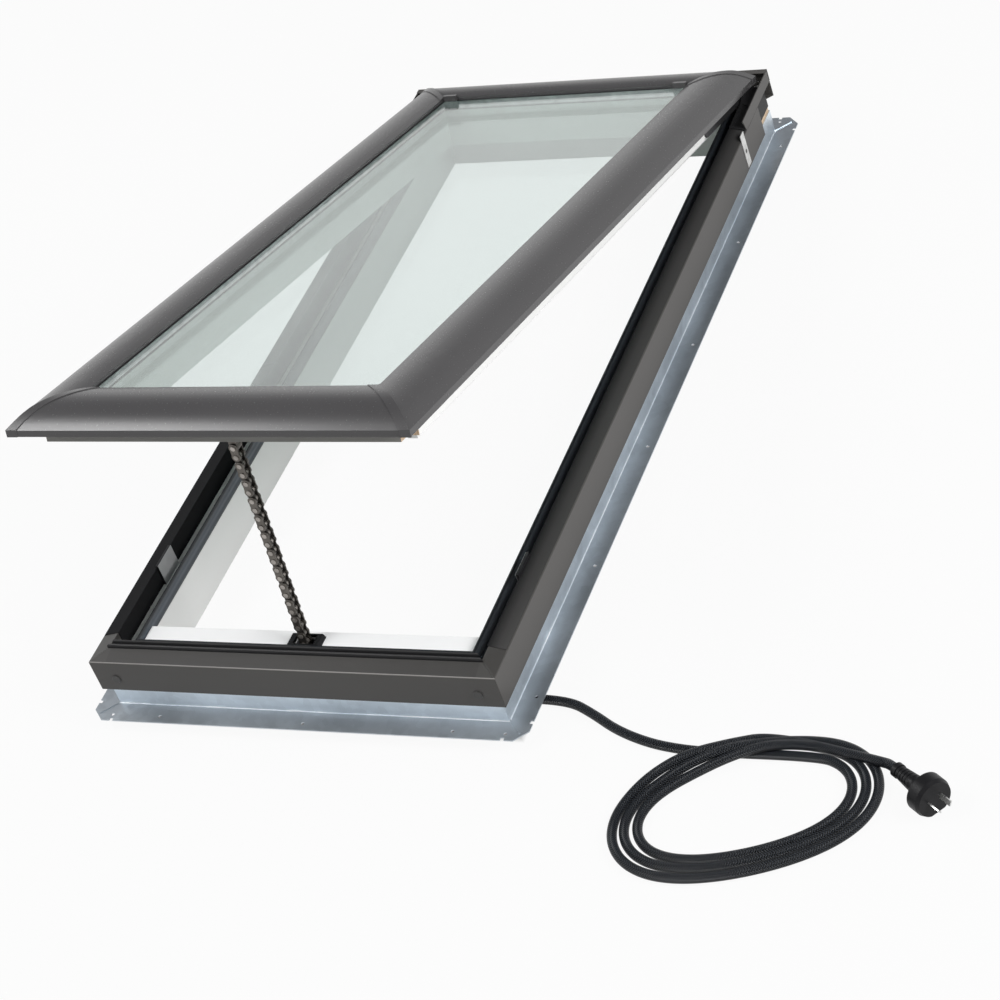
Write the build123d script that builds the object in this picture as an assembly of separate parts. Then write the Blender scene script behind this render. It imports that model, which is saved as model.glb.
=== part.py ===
from build123d import *
import math
import os

# Top-hinged electric roof skylight: deck-mounted frame, glazed sash standing open, push chain and mains lead.
# The wood frame stands on z = 0. X runs across the slope, +Y up the slope to the hinge, +Z out of the roof.
# Heights named ..._H in the frame are above the flange's underside. The sash is drawn closed, then swung open.
# Lengths are in millimetres.

# Overall frame
FRAME_W = 550.0
FRAME_L = 1180.0
DROP = 18.0            # wood that reaches below the flange, into the roof opening
OVERRUN = 5.0          # how far every cutter passes its wall
SEAT_GAP = 0.3         # between a seal and the face that closes on it
FIT_GAP = 0.05         # radial running clearance of a pin or shaft

# Galvanised deck flange
FLANGE_T = 1.5
FLANGE_W = 30.0
LEG_H = 36.0
LEG_INSET = 8.5        # leg face behind the cladding face
FLANGE_CHAMFER = 16.0
TAB_W = 5.0            # small notches at the corners' edges
TAB_D = 4.0
TAB_FROM_CORNER = 30.0
SEAM_W = 2.5           # raised edge along the corner joints
SEAM_H = 1.2
SEAM_END = 10.0        # short of the corner
NAIL_R = 2.25
NAIL_LINE = 20.0       # nail holes outside the leg
NAIL_ACROSS_SHARES = (-0.974, -0.727, 0.0, 0.727, 0.974)
NAIL_ALONG_SHARES = (-0.917, -0.542, -0.171, 0.171, 0.542, 0.917)

# Frame wood
WOOD_INNER = 50.0      # inner face behind the cladding face
REBATE_D = 22.0        # rebate wall behind the cladding face
FOOT_REBATE_H = 71.0
REBATE_H = 59.5        # on the sides and the head
GROOVE_W = 13.0        # lining groove under the inner edge
GROOVE_H = 25.0
STEP_D = 1.2           # set-back of the lower part of the inner face
STEP_H = 26.0

# Frame cladding, hood and trim
CLAD_T = 1.2
CLAD_LOW_H = 33.0
HEAD_CLAD_LOW_H = 55.0
SHOULDER_H = 80.0
SLOPE_RISE = 5.5       # over the rebate depth
SIDE_CLAD_END = 64.0   # side cladding stops this far from the head face
HOOD_H = 100.0
HOOD_LEG = 126.0       # side legs of the hood, from the head face
HOOD_LEG_RAKE = 6.0
HOOD_TOP_W = 10.0
CORNER_BLOCK_LOW_H = 46.0
CORNER_BLOCK_W = 3.0
CORNER_BLOCK_GAP = 3.0
STRAP_W = 14.0
STRAP_T = 1.0
STRAP_LOW_H = 38.0
STRAP_TOP_H = 90.0
STRAP_FROM_HEAD = 142.0
STRAP_HOLE_R = 3.0
STRAP_HOLE_SHARE = 0.45
CAP_R = 6.0            # screw caps in the bottom cladding
CAP_DEEP = 1.6
CAP_EDGE = 0.8
CAP_FROM_SIDE = 29.5
CAP_H = 53.0
GUIDE_L = 39.0         # sash guide plates inside the side rails
GUIDE_T = 4.0
GUIDE_RISE = 31.0
GUIDE_FROM_FOOT = 179.0

# Frame seals
GASKET_W = 10.5
GASKET_BASE_T = 1.8
GASKET_TOP_W = 2.0
GASKET_LEAN = 3.0      # of its inner face, from the base to the top
GASKET_LIP = 0.5       # gasket edge back from the inner face
SEAL_FROM_FACE = 20.5  # clip-on seal over the bottom cladding's inner edge
SEAL_W = 9.0
SEAL_H = 92.5
SEAL_GRIP = 7.0
SEAL_RIB_SHARES = ((0.0, 0.35), (0.08, 0.6), (0.22, 0.68), (0.36, 0.55), (0.45, 0.3), (0.58, 0.35), (0.7, 0.85),
                   (0.85, 1.0), (1.0, 0.8))
STRIP_T = 0.8          # black strips over the side slopes
STRIP_EDGE = 1.5
STRIP_FROM_FOOT = 46.0

# Hinge
HINGE_FROM_HEAD = 34.0
HINGE_H = 96.0
OPEN_DEG = 15.69
PIN_R = 3.5
EYE_R = 7.0
PLATE_T = 2.6          # both hinge plates
PLATE_GAP = 2.6
BRACKET_TAIL = 28.0    # frame bracket below the pin, along the rail
BRACKET_FOOT_RISE = 4.0
SASH_PLATE_TAIL = 163.0
SASH_PLATE_W = 15.0
SHOE_FROM_HEAD = 123.0 # hinge shoes on the side slopes
SHOE_T = 3.0
SHOE_WEB = 4.0         # of the recess in a shoe's top
SHOE_RECESS = 1.5

# Sash outline and covers; heights are above the lip's lower edge
SASH_SIDE_INSET = 12.5  # lip behind the frame's side faces
SASH_FOOT_INSET = 1.5  # lip behind the frame's bottom face
SASH_HEAD_INSET = 20.1
LIP_CLOSED_H = 96.2
COVER_SIDE_W = 72.0
COVER_FOOT_W = 80.0
COVER_HEAD_W = 69.0
COVER_T = 1.5
LIP_H = 8.0
CREST_H = 29.8
COVER_CURVE_SHARES = ((0.0, 0.0), (0.16, 0.472), (0.30, 0.761), (0.45, 0.927), (0.62, 1.0), (0.80, 0.968),
                      (1.0, 0.807))
CORNER_CAP_T = 1.0
CORNER_CAP_GAP = 0.1
CORNER_CAP_W = 14.0
CORNER_CAP_OVER = 2.0  # onto the side cover
END_CAP_W = 13.0       # caps over the head joints, on the side covers
END_CAP_OVER = 4.0     # onto the head cover
CLIP_W = 20.0          # clip of each head cap at the glass
CLIP_D = 6.0
CLIP_H = 8.0

# Glass
GLASS_TOP_H = 20.0
GLASS_TUCK = 15.0      # under the covers
GLASS_GAP = 1.5
PANE_T = 4.0
SPACER_T = 12.0
SPACER_W = 9.0
BED_T = 1.0
GLAZING_T = 1.5
GLAZING_W = 8.0
GLAZING_SHOW = 1.5     # gasket past the cover edge

# Sash wood
SASH_WOOD_DROP = 20.0  # below the lip
SASH_FOOT_CLEAR = 7.8   # wood behind the frame's hem, past the seal
SASH_HEAD_CLEAR = 16.9
SASH_BEVEL_W = 10.0
COVER_ROOM = 3.9        # under the side cover's face, above the wood's outer edge
LEDGE_HIDE = 4.5       # glass ledge behind the cover edge
NOTCH_ACROSS = 14.0
NOTCH_ALONG = 17.5
MORTISE_GAP = 0.5

# Chain operator in the bottom rail
OPERATOR_COVER_D = 27.0
OPERATOR_COVER_T = 2.0
OPERATOR_COVER_TOP_H = 68.0
OPERATOR_COVER_LOW_H = 12.0
POCKET_D = 20.0
POCKET_LOW_H = 20.0
POCKET_TOP_H = 66.0
HOUSING_L = 340.0
HOUSING_WALL = 2.0
HOUSING_TOP_H = 64.0
HOUSING_CLEAR = 1.0
END_PLATE_T = 3.0
MOTOR_R = 14.5
MOTOR_END_GAP = 15.0    # behind the motor, inside the housing
MOTOR_SHAFT_R = 4.0
GEARBOX_L = 28.0
GEARBOX_CLEAR = 0.3
BOARD_T = 1.6
BOARD_END_GAP = 20.0
BOARD_H = 34.0
BOARD_FROM_CHAIN = 40.0
SUPPLY_SHARE = 0.56     # of the board's length
SUPPLY_W = 22.0
SUPPLY_H = 28.0
GUIDE_PLATE_L = 47.0
GUIDE_PLATE_W = 19.0
GUIDE_PLATE_T = 5.0
GUIDE_PLATE_TAPER = 3.0
MOUTH_L = 28.0
MOUTH_W = 15.6

# Push chain
CHAIN_FROM_FACE = 59.5
CHAIN_PIVOT_H = 69.0
CHAIN_LINKS = 24       # from the operator's mouth to the sash
CHAIN_TAIL_LINKS = 2   # inside the operator
CHAIN_INNER = 6.0      # between the inner plates
LINK_T = 1.7
LINK_GAP = 0.2
LINK_R = 5.6
LINK_SIDES = 16        # of the rounded ends of a link, and of the rivets
RIVET_SIDES = 8
WAIST_SHARE = 0.86
RIVET_R = 2.0
RIVET_HEAD_R = 3.2
RIVET_HEAD_T = 0.9
ROLLER_R = 4.0
ROLLER_GAP = 0.1
SPROCKET_TEETH = 6
SPROCKET_T = 3.0
SPROCKET_SHAFT_R = 4.0
SPROCKET_TIP = 1.0
SPROCKET_SEAT_GAP = 0.35
END_EYE_R = 6.0
END_PIN_R = 3.0
END_PIN_GAP = 0.3
CHEEK_T = 2.0
CHEEK_GAP = 0.5
CHEEK_R = 5.5
BRACKET_BASE_T = 2.4
BRACKET_BASE_L = 44.0
BRACKET_BASE_W = 20.0

# Mains lead
CORD_D = 11.5
GLAND_FROM_FOOT = 55.0
GLAND_NUT_R = 8.4
GLAND_NUT_L = 7.0
GLAND_NECK_R = 7.4
GLAND_L = 18.0
GLAND_Z = 9.0
CORD_ROUTE = [
    (283.0, -535.0, 9.0),
    (322.0, -535.0, 9.0),
    (358.0, -552.0, 6.8),
    (395.0, -575.0, 5.8),
    (440.0, -592.0, 5.8),
    (480.0, -599.0, 5.8),
    (518.0, -601.0, 5.8),
]
ARC_SHARE = 0.45       # of the shorter run beside each bend
COIL_X = 580.6
COIL_Y = -681.7
COIL_TURN_DEG = 21.4
COIL_LONG_R = 158.0    # middle of the outermost turn
COIL_SHORT_R = 96.0
COIL_INNER_LONG_R = 130.0
COIL_INNER_SHORT_R = 78.0
COIL_LAYERS = 2
PLUG_X = 741.2
PLUG_Y = -623.4
PLUG_TURN_DEG = -37.7
TAIL_RUN = 10.0         # of the cord behind the plug, before it dips into the coil
TAIL_DIP = 11.0
PLUG_R = 23.0
PLUG_FLAT = 19.0       # axis above the flat that it lies on
PLUG_L = 66.0
PLUG_DISC_L = 19.0
PLUG_FACE_R = 21.0
PLUG_FACE_EDGE = 5.0
COLLAR_R = 8.6
COLLAR_L = 6.0
NECK_R = 7.6
NECK_END_R = 10.0
NECK_L = 24.0
NECK_RIBS = 5
RIB_DEEP = 1.0
BLADE_L = 17.0
BLADE_W = 6.3
BLADE_T = 1.7
BLADE_OFFSET = 7.6
BLADE_TURN_DEG = 30.0

# Worked out from the sizes above
HALF_W = FRAME_W / 2
HALF_L = FRAME_L / 2
FLANGE_Z = DROP
SLOPE = SLOPE_RISE / REBATE_D
SLOPE_T = CLAD_T * math.hypot(1, SLOPE)
WOOD_INSET = LEG_INSET + FLANGE_T
SHOULDER_Z = FLANGE_Z + SHOULDER_H
REBATE_Z = FLANGE_Z + REBATE_H
FOOT_REBATE_Z = FLANGE_Z + FOOT_REBATE_H
LIP_Z = FLANGE_Z + LIP_CLOSED_H
HINGE_Y = HALF_L - HINGE_FROM_HEAD
HINGE_Z = FLANGE_Z + HINGE_H
FRAME_BOX = (-HALF_W, HALF_W, -HALF_L, HALF_L)
LIP_BOX = (SASH_SIDE_INSET - HALF_W, HALF_W - SASH_SIDE_INSET, SASH_FOOT_INSET - HALF_L, HALF_L - SASH_HEAD_INSET)
HEM_EDGE = REBATE_D + CLAD_T
COVER_WIDTHS = {"left": COVER_SIDE_W, "right": COVER_SIDE_W, "foot": COVER_FOOT_W, "head": COVER_HEAD_W}
CHAIN_Y = CHAIN_FROM_FACE - HALF_L
CHAIN_Z = FLANGE_Z + CHAIN_PIVOT_H
CHAIN_ARM = math.hypot(CHAIN_Y - HINGE_Y, CHAIN_Z - HINGE_Z)
CHAIN_STROKE = 2 * CHAIN_ARM * math.sin(math.radians(OPEN_DEG / 2))
CHAIN_LEAN_DEG = OPEN_DEG / 2 - math.degrees(math.atan2(HINGE_Z - CHAIN_Z, HINGE_Y - CHAIN_Y))
PITCH = CHAIN_STROKE / CHAIN_LINKS
CHAIN_HALF = CHAIN_INNER / 2 + 2 * LINK_T + LINK_GAP + RIVET_HEAD_T


def grow(box, left=0.0, right=0.0, foot=0.0, head=0.0):
    """Plan rectangle with each side moved outwards."""
    return box[0] - left, box[1] + right, box[2] - foot, box[3] + head


def shrink(box, by):
    """Plan rectangle with all sides moved inwards by one depth."""
    return grow(box, -by, -by, -by, -by)


def corners(box):
    """The four corners, counter-clockwise from the left foot."""
    return [(box[0], box[2]), (box[1], box[2]), (box[1], box[3]), (box[0], box[3])]


def block(x0, x1, y0, y1, z0, z1):
    """Box between two corners."""
    return Pos((x0 + x1) / 2, (y0 + y1) / 2, (z0 + z1) / 2) * Box(x1 - x0, y1 - y0, z1 - z0)


def slab(points, z0, z1):
    """Plan outline raised from z0 to z1."""
    return extrude(make_face(Polyline(*[(x, y, z0) for x, y in points], close=True)), z1 - z0, dir=(0, 0, 1))


def across(points, x0, x1):
    """Outline in (y, z) run along X."""
    return extrude(make_face(Polyline(*[(x0, y, z) for y, z in points], close=True)), x1 - x0, dir=(1, 0, 0))


def along(points, y0, y1):
    """Outline in (x, z) run along Y."""
    return extrude(make_face(Polyline(*[(x, y0, z) for x, z in points], close=True)), y1 - y0, dir=(0, 1, 0))


def rod_x(radius, x0, x1, y, z):
    """Round bar along X."""
    return Pos((x0 + x1) / 2, y, z) * Rot(0, 90, 0) * Cylinder(radius, x1 - x0)


def rod_y(radius, x, y0, y1, z):
    """Round bar along Y."""
    return Pos(x, (y0 + y1) / 2, z) * Rot(90, 0, 0) * Cylinder(radius, y1 - y0)


def pair(shape):
    """A right-hand piece with its mirror image on the left."""
    return Compound([shape, mirror(shape, Plane.YZ)])


def section(points):
    """Straight-sided section in (depth inwards, height)."""
    return make_face(Polyline(*points, close=True))


SIDES = ("foot", "right", "head", "left")


def ring_side(profile, outer, inner, side):
    """One side of a ring: a (depth, height) section run along it and mitred between two plan rectangles."""
    first = SIDES.index(side)
    last = (first + 1) % len(SIDES)
    outside, inside = corners(outer), corners(inner)
    run = Vector(*outside[last]) - Vector(*outside[first])
    inwards = Vector(-run.Y, run.X)
    bar = extrude(Plane(outside[first], x_dir=inwards, z_dir=run) * profile, run.length)
    box = bar.bounding_box()
    keep = [outside[first], outside[last], inside[last], inside[first]]
    return bar & slab(keep, box.min.Z - OVERRUN, box.max.Z + OVERRUN)


def slope_z(depth):
    """Outer surface of the cladding's sloped top."""
    return SHOULDER_Z + SLOPE * depth


def rebate_z(side):
    """Floor of a rail's rebate; the bottom rail's is higher, above the operator."""
    return FOOT_REBATE_Z if side == "foot" else REBATE_Z


def frame_wood():
    """Four rebated rails, mitred, with a sloped upstand under the cladding and a lining groove below."""
    upstand = [(d, slope_z(d) - SLOPE_T) for d in (REBATE_D, WOOD_INSET)]
    inside = [(WOOD_INSET, 0), (WOOD_INNER - GROOVE_W, 0), (WOOD_INNER - GROOVE_W, GROOVE_H),
              (WOOD_INNER - STEP_D, GROOVE_H), (WOOD_INNER - STEP_D, FLANGE_Z + STEP_H), (WOOD_INNER, FLANGE_Z + STEP_H)]
    rails = {}
    for side in SIDES:
        floor = rebate_z(side)
        profile = section(inside + [(WOOD_INNER, floor), (REBATE_D, floor)] + upstand)
        rails[side] = ring_side(profile, FRAME_BOX, shrink(FRAME_BOX, WOOD_INNER), side)
    pocket_half = HOUSING_L / 2 + END_PLATE_T + HOUSING_CLEAR
    inner_y = WOOD_INNER - HALF_L
    rails["foot"] -= block(-pocket_half, pocket_half, inner_y - POCKET_D, inner_y + OVERRUN,
                           FLANGE_Z + POCKET_LOW_H, FLANGE_Z + POCKET_TOP_H)
    return {f"frame_{side}_rail": rail for side, rail in rails.items()}


def deck_flanges():
    """Four L-section flanges with nail holes, mitred and chamfered at the corners."""
    outer = shrink(FRAME_BOX, LEG_INSET - FLANGE_W)
    leg, top = FLANGE_W + FLANGE_T, FLANGE_Z + LEG_H
    profile = section([(0, FLANGE_Z), (leg, FLANGE_Z), (leg, top), (FLANGE_W, top),
                       (FLANGE_W, FLANGE_Z + FLANGE_T), (0, FLANGE_Z + FLANGE_T)])
    line_x, line_y = HALF_W - LEG_INSET + NAIL_LINE, HALF_L - LEG_INSET + NAIL_LINE
    places = [(share * HALF_W, y) for share in NAIL_ACROSS_SHARES for y in (-line_y, line_y)]
    places += [(x, share * HALF_L) for share in NAIL_ALONG_SHARES for x in (-line_x, line_x)]
    nails = [Pos(x, y, FLANGE_Z) * Cylinder(NAIL_R, FLANGE_T + OVERRUN) for x, y in places]
    cut = FLANGE_CHAMFER
    for x, y in corners(outer):
        sx, sy = math.copysign(cut, x), math.copysign(cut, y)
        nails.append(slab([(x, y), (x - sx, y), (x, y - sy)], FLANGE_Z - OVERRUN, FLANGE_Z + OVERRUN))
        from_x, from_y = math.copysign(TAB_FROM_CORNER, x), math.copysign(TAB_FROM_CORNER, y)
        nails.append(Pos(x, y - from_y, FLANGE_Z) * Box(2 * TAB_D, TAB_W, FLANGE_T + OVERRUN))
        nails.append(Pos(x - from_x, y, FLANGE_Z) * Box(TAB_W, 2 * TAB_D, FLANGE_T + OVERRUN))
    inner = shrink(FRAME_BOX, WOOD_INSET)
    flanges = {side: ring_side(profile, outer, inner, side) - nails for side in SIDES}
    high = FLANGE_Z + FLANGE_T
    for near, far in zip(corners(shrink(outer, FLANGE_W)), corners(shrink(outer, SEAM_END))):
        side = "right" if near[0] > 0 else "left"
        back = math.copysign(SEAM_W, near[1])
        seam = [near, far, (far[0], far[1] - back), (near[0], near[1] - back)]
        flanges[side] += slab(seam, high, high + SEAM_H)
    return {f"deck_flange_{side}": flange for side, flange in flanges.items()}


def cladding_profile(low_z, back, hem):
    """Folded sheet: a return at the foot, the face, the sloped top and a hem down to the rebate's floor."""
    edge = REBATE_D + CLAD_T
    return section([(back, low_z), (0, low_z), (0, SHOULDER_Z), (edge, slope_z(edge)), (edge, hem),
                    (REBATE_D, hem), (REBATE_D, slope_z(REBATE_D) - SLOPE_T), (CLAD_T, slope_z(CLAD_T) - SLOPE_T),
                    (CLAD_T, low_z + CLAD_T), (back, low_z + CLAD_T)])


def frame_cladding():
    """Sheet on the bottom, sides and head; the side sheets stop short of the head."""
    inner = shrink(FRAME_BOX, REBATE_D + CLAD_T)
    sheets = {}
    for side in ("foot", "right", "left"):
        profile = cladding_profile(FLANGE_Z + CLAD_LOW_H, LEG_INSET, rebate_z(side))
        sheets[side] = ring_side(profile, FRAME_BOX, inner, side)
    end = HALF_L - SIDE_CLAD_END
    tall = FLANGE_Z + HOOD_H
    for side in ("right", "left"):
        sheets[side] -= block(-FRAME_W, FRAME_W, end, HALF_L + OVERRUN, 0, tall)
    head = cladding_profile(FLANGE_Z + HEAD_CLAD_LOW_H, WOOD_INSET, REBATE_Z)
    sheets["head"] = ring_side(head, FRAME_BOX, inner, "head")
    return {f"frame_cladding_{side}": sheet for side, sheet in sheets.items()}


def hood():
    """Raised guard round the head: an end plate with a top return, and two raked side legs."""
    top, low = FLANGE_Z + HOOD_H, slope_z(CLAD_T)
    inside, back = HALF_L - CLAD_T, HALF_L - HOOD_TOP_W
    guard = across([(HALF_L, low), (HALF_L, top), (back, top), (back, top - CLAD_T), (inside, top - CLAD_T),
                    (inside, low)], -HALF_W, HALF_W)
    foot = HALF_L - HOOD_LEG
    leg_top = top - CLAD_T
    leg = [(foot + HOOD_LEG_RAKE, low), (inside, low), (inside, leg_top), (foot, leg_top)]
    return {"head_hood": guard, "hood_legs": pair(across(leg, HALF_W - CLAD_T, HALF_W))}


def corner_blocks():
    """Black blocks that close the side of the frame between the side cladding and the head."""
    y0 = HALF_L - SIDE_CLAD_END
    x0, x1 = HALF_W - WOOD_INSET, HALF_W - WOOD_INSET + CORNER_BLOCK_W
    low, high = FLANGE_Z + CORNER_BLOCK_LOW_H, SHOULDER_Z - SLOPE_T
    y_head = HALF_L - WOOD_INSET - CORNER_BLOCK_GAP
    return {"corner_blocks": pair(block(x0, x1, y0, y_head, low, high))}


def frame_trim():
    """Straps on the side cladding, sash guide plates in the rebates, screw caps on the bottom face."""
    y = HALF_L - STRAP_FROM_HEAD
    low, high = FLANGE_Z + STRAP_LOW_H, FLANGE_Z + STRAP_TOP_H
    hole_z = low + STRAP_HOLE_SHARE * (high - low)
    strap = block(HALF_W, HALF_W + STRAP_T, y - STRAP_W / 2, y + STRAP_W / 2, low, high)
    strap -= rod_x(STRAP_HOLE_R, HALF_W - OVERRUN, HALF_W + STRAP_T + OVERRUN, y, hole_z)
    guide_x = HALF_W - HEM_EDGE - STRIP_T
    guide_y = GUIDE_FROM_FOOT - HALF_L
    guide = block(guide_x - GUIDE_T, guide_x, guide_y - GUIDE_L / 2, guide_y + GUIDE_L / 2, REBATE_Z,
                  REBATE_Z + GUIDE_RISE)
    cap_x, cap_z = HALF_W - CAP_FROM_SIDE, FLANGE_Z + CAP_H
    cap = rod_y(CAP_R, cap_x, -HALF_L - CAP_DEEP, -HALF_L, cap_z)
    cap = chamfer(cap.edges().group_by(Axis.Y)[0], CAP_EDGE)
    return {"side_straps": pair(strap), "sash_guides": pair(guide), "screw_caps": pair(cap)}


def frame_seals():
    """Gasket flap in the rebate, clip-on seal over the bottom cladding's edge, black strips over the side slopes."""
    inner_d = WOOD_INNER - GASKET_LIP
    outer_d = inner_d - GASKET_W
    top_d = inner_d - GASKET_LEAN
    top = LIP_Z - SASH_WOOD_DROP - SEAT_GAP
    sides = []
    for side in SIDES:
        floor = rebate_z(side)
        base = floor + GASKET_BASE_T
        profile = section([(outer_d, floor), (inner_d, floor), (inner_d, base), (top_d, top), (top_d - GASKET_TOP_W, top),
                           (top_d - 2 * GASKET_TOP_W, base), (outer_d, base)])
        sides.append(ring_side(profile, FRAME_BOX, shrink(FRAME_BOX, WOOD_INNER), side))
    gasket = sides[0] + sides[1:]
    start, end = SEAL_FROM_FACE, SEAL_FROM_FACE + SEAL_W
    seal_rise = FLANGE_Z + SEAL_H - slope_z(start)
    grip = slope_z(HEM_EDGE) - SEAL_GRIP
    ribs = [(start + a * SEAL_W, slope_z(start) + b * seal_rise) for a, b in SEAL_RIB_SHARES]
    under = [(end, grip), (HEM_EDGE, grip), (HEM_EDGE, slope_z(HEM_EDGE)), (start, slope_z(start))]
    seal = ring_side(section(ribs + under), FRAME_BOX, shrink(FRAME_BOX, end), "foot")
    over = [(HALF_W - STRIP_EDGE, slope_z(STRIP_EDGE)), (HALF_W - STRIP_EDGE, slope_z(STRIP_EDGE) + STRIP_T),
            (HALF_W - HEM_EDGE - STRIP_T, slope_z(HEM_EDGE) + STRIP_T)]
    wall = [(HALF_W - HEM_EDGE - STRIP_T, REBATE_Z), (HALF_W - HEM_EDGE, REBATE_Z),
            (HALF_W - HEM_EDGE, slope_z(HEM_EDGE))]
    strip = along(over + wall, STRIP_FROM_FOOT - HALF_L, HALF_L - SHOE_FROM_HEAD)
    return {"frame_gasket": gasket, "bottom_seal": seal, "side_strips": pair(strip)}


def hinge_places():
    """Inner faces of the frame bracket, the sash plate and the sash mortise, outwards from the middle."""
    bracket = HALF_W - REBATE_D - PLATE_T
    plate = bracket - PLATE_GAP - PLATE_T
    return bracket, plate, plate - MORTISE_GAP


def frame_hinges():
    """Brackets on the rebate walls at the head, with a running hole for the sash's pin."""
    bracket_x, _, _ = hinge_places()
    foot_z = LIP_Z - SASH_WOOD_DROP + BRACKET_FOOT_RISE
    tail = HINGE_Y - BRACKET_TAIL
    outline = [(tail, foot_z), (HINGE_Y, foot_z), (HINGE_Y + EYE_R, HINGE_Z), (HINGE_Y, HINGE_Z + EYE_R),
               (HINGE_Y - EYE_R, HINGE_Z + EYE_R), (tail, foot_z + EYE_R)]
    plate = across(outline, bracket_x, bracket_x + PLATE_T)
    plate += rod_x(EYE_R, bracket_x, bracket_x + PLATE_T, HINGE_Y, HINGE_Z)
    plate -= rod_x(PIN_R + FIT_GAP, bracket_x - OVERRUN, bracket_x + PLATE_T + OVERRUN, HINGE_Y, HINGE_Z)
    return {"frame_hinges": pair(plate + hinge_shoe())}


def hinge_shoe():
    """Black shoe that carries the bracket: on the side cladding, then on the wood past the cladding's end."""
    start, step, end = HALF_L - SHOE_FROM_HEAD, HALF_L - SIDE_CLAD_END, HALF_L - HEM_EDGE
    outer, inner = STRIP_EDGE, HEM_EDGE
    top = [(HALF_W - inner, slope_z(inner) + SHOE_T), (HALF_W - outer, slope_z(outer) + SHOE_T)]
    shoe = along([(HALF_W - outer, slope_z(outer)), (HALF_W - inner, slope_z(inner))] + top, start, step)
    low = [(HALF_W - outer, slope_z(outer) - SLOPE_T), (HALF_W - REBATE_D, slope_z(REBATE_D) - SLOPE_T),
           (HALF_W - REBATE_D, slope_z(REBATE_D) + SHOE_T)]
    shoe += along(low + top[1:], step, end)
    web = SHOE_WEB
    recess = [(HALF_W - outer - web, slope_z(outer + web) + SHOE_T + OVERRUN),
              (HALF_W - outer - web, slope_z(outer + web) + SHOE_T - SHOE_RECESS),
              (HALF_W - inner + web, slope_z(inner - web) + SHOE_T - SHOE_RECESS),
              (HALF_W - inner + web, slope_z(inner - web) + SHOE_T + OVERRUN)]
    return shoe - along(recess, start + web, step - web)


def operator():
    """Chain operator: white cover, extruded housing, end plates, motor, gearbox, board, supply, chain guide."""
    wood_y = WOOD_INNER - HALF_L
    cover_y = wood_y + OPERATOR_COVER_D
    top, low = FLANGE_Z + OPERATOR_COVER_TOP_H, FLANGE_Z + OPERATOR_COVER_LOW_H
    t = OPERATOR_COVER_T
    inside = HALF_W - WOOD_INNER
    cover = across([(wood_y, top - t), (wood_y, top), (cover_y, top), (cover_y, low), (wood_y, low), (wood_y, low + t),
                    (cover_y - t, low + t), (cover_y - t, top - t)], -inside, inside)
    mouth = block(-MOUTH_L / 2, MOUTH_L / 2, CHAIN_Y - MOUTH_W / 2, CHAIN_Y + MOUTH_W / 2, 0, HINGE_Z + HINGE_H)
    y0, y1 = wood_y - POCKET_D + HOUSING_CLEAR, cover_y - t - HOUSING_CLEAR
    z0, z1 = FLANGE_Z + POCKET_LOW_H, FLANGE_Z + HOUSING_TOP_H
    half, wall = HOUSING_L / 2, HOUSING_WALL
    in_y0, in_y1, in_z0, in_z1 = y0 + wall, y1 - wall, z0 + wall, z1 - wall
    shaft_x, _, shaft_z = sprocket_centre()
    slot = block(-MOUTH_L / 2, MOUTH_L / 2, CHAIN_Y - MOUTH_W / 2, CHAIN_Y + MOUTH_W / 2, in_z1 - OVERRUN, z1 + OVERRUN)
    housing = block(-half, half, y0, y1, z0, z1)
    housing -= block(-half - OVERRUN, half + OVERRUN, in_y0, in_y1, in_z0, in_z1)
    housing -= slot
    housing -= rod_y(SPROCKET_SHAFT_R + FIT_GAP, shaft_x, y0 - OVERRUN, y1 + OVERRUN, shaft_z)
    plate = block(half, half + END_PLATE_T, y0, y1, z0, z1)
    gear_x1 = shaft_x - sprocket_tip_r() - OVERRUN
    gear_x0 = gear_x1 - GEARBOX_L
    gearbox = block(gear_x0, gear_x1, in_y0 + GEARBOX_CLEAR, in_y1 - GEARBOX_CLEAR, in_z0, in_z1 - GEARBOX_CLEAR)
    mid_y, mid_z = (in_y0 + in_y1) / 2, (in_z0 + in_z1) / 2
    motor_x = MOTOR_END_GAP - half
    motor = rod_x(MOTOR_R, motor_x, gear_x0, mid_y, mid_z)
    motor += rod_x(MOTOR_SHAFT_R, motor_x - MOTOR_SHAFT_R, motor_x, mid_y, mid_z)
    board_x, board_l = BOARD_FROM_CHAIN, half - BOARD_END_GAP - BOARD_FROM_CHAIN
    board = block(board_x, board_x + board_l, in_y0 + GEARBOX_CLEAR, in_y0 + GEARBOX_CLEAR + BOARD_T, in_z0,
                  in_z0 + BOARD_H)
    supply_y = in_y0 + GEARBOX_CLEAR + BOARD_T
    supply_l = SUPPLY_SHARE * board_l
    supply_x = board_x + (board_l - supply_l) / 2
    supply = block(supply_x, supply_x + supply_l, supply_y, supply_y + SUPPLY_W, in_z0, in_z0 + SUPPLY_H)
    half_l, half_w = GUIDE_PLATE_L / 2, GUIDE_PLATE_W / 2
    rise = top + GUIDE_PLATE_T
    guide = along([(-half_l, top), (half_l, top), (half_l - GUIDE_PLATE_TAPER, rise), (GUIDE_PLATE_TAPER - half_l, rise)],
                  CHAIN_Y - half_w, CHAIN_Y + half_w)
    return {"operator_cover": cover - mouth, "operator_housing": housing, "operator_ends": pair(plate),
            "gearbox": gearbox, "motor": motor, "control_board": board, "power_supply": supply,
            "chain_guide": guide - mouth}


def sprocket_pitch_r():
    """Pitch radius of a sprocket whose teeth are one chain pitch apart."""
    return PITCH / (2 * math.sin(math.pi / SPROCKET_TEETH))


def sprocket_tip_r():
    """Outer radius of the sprocket's teeth."""
    return sprocket_pitch_r() + SPROCKET_TIP


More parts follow.
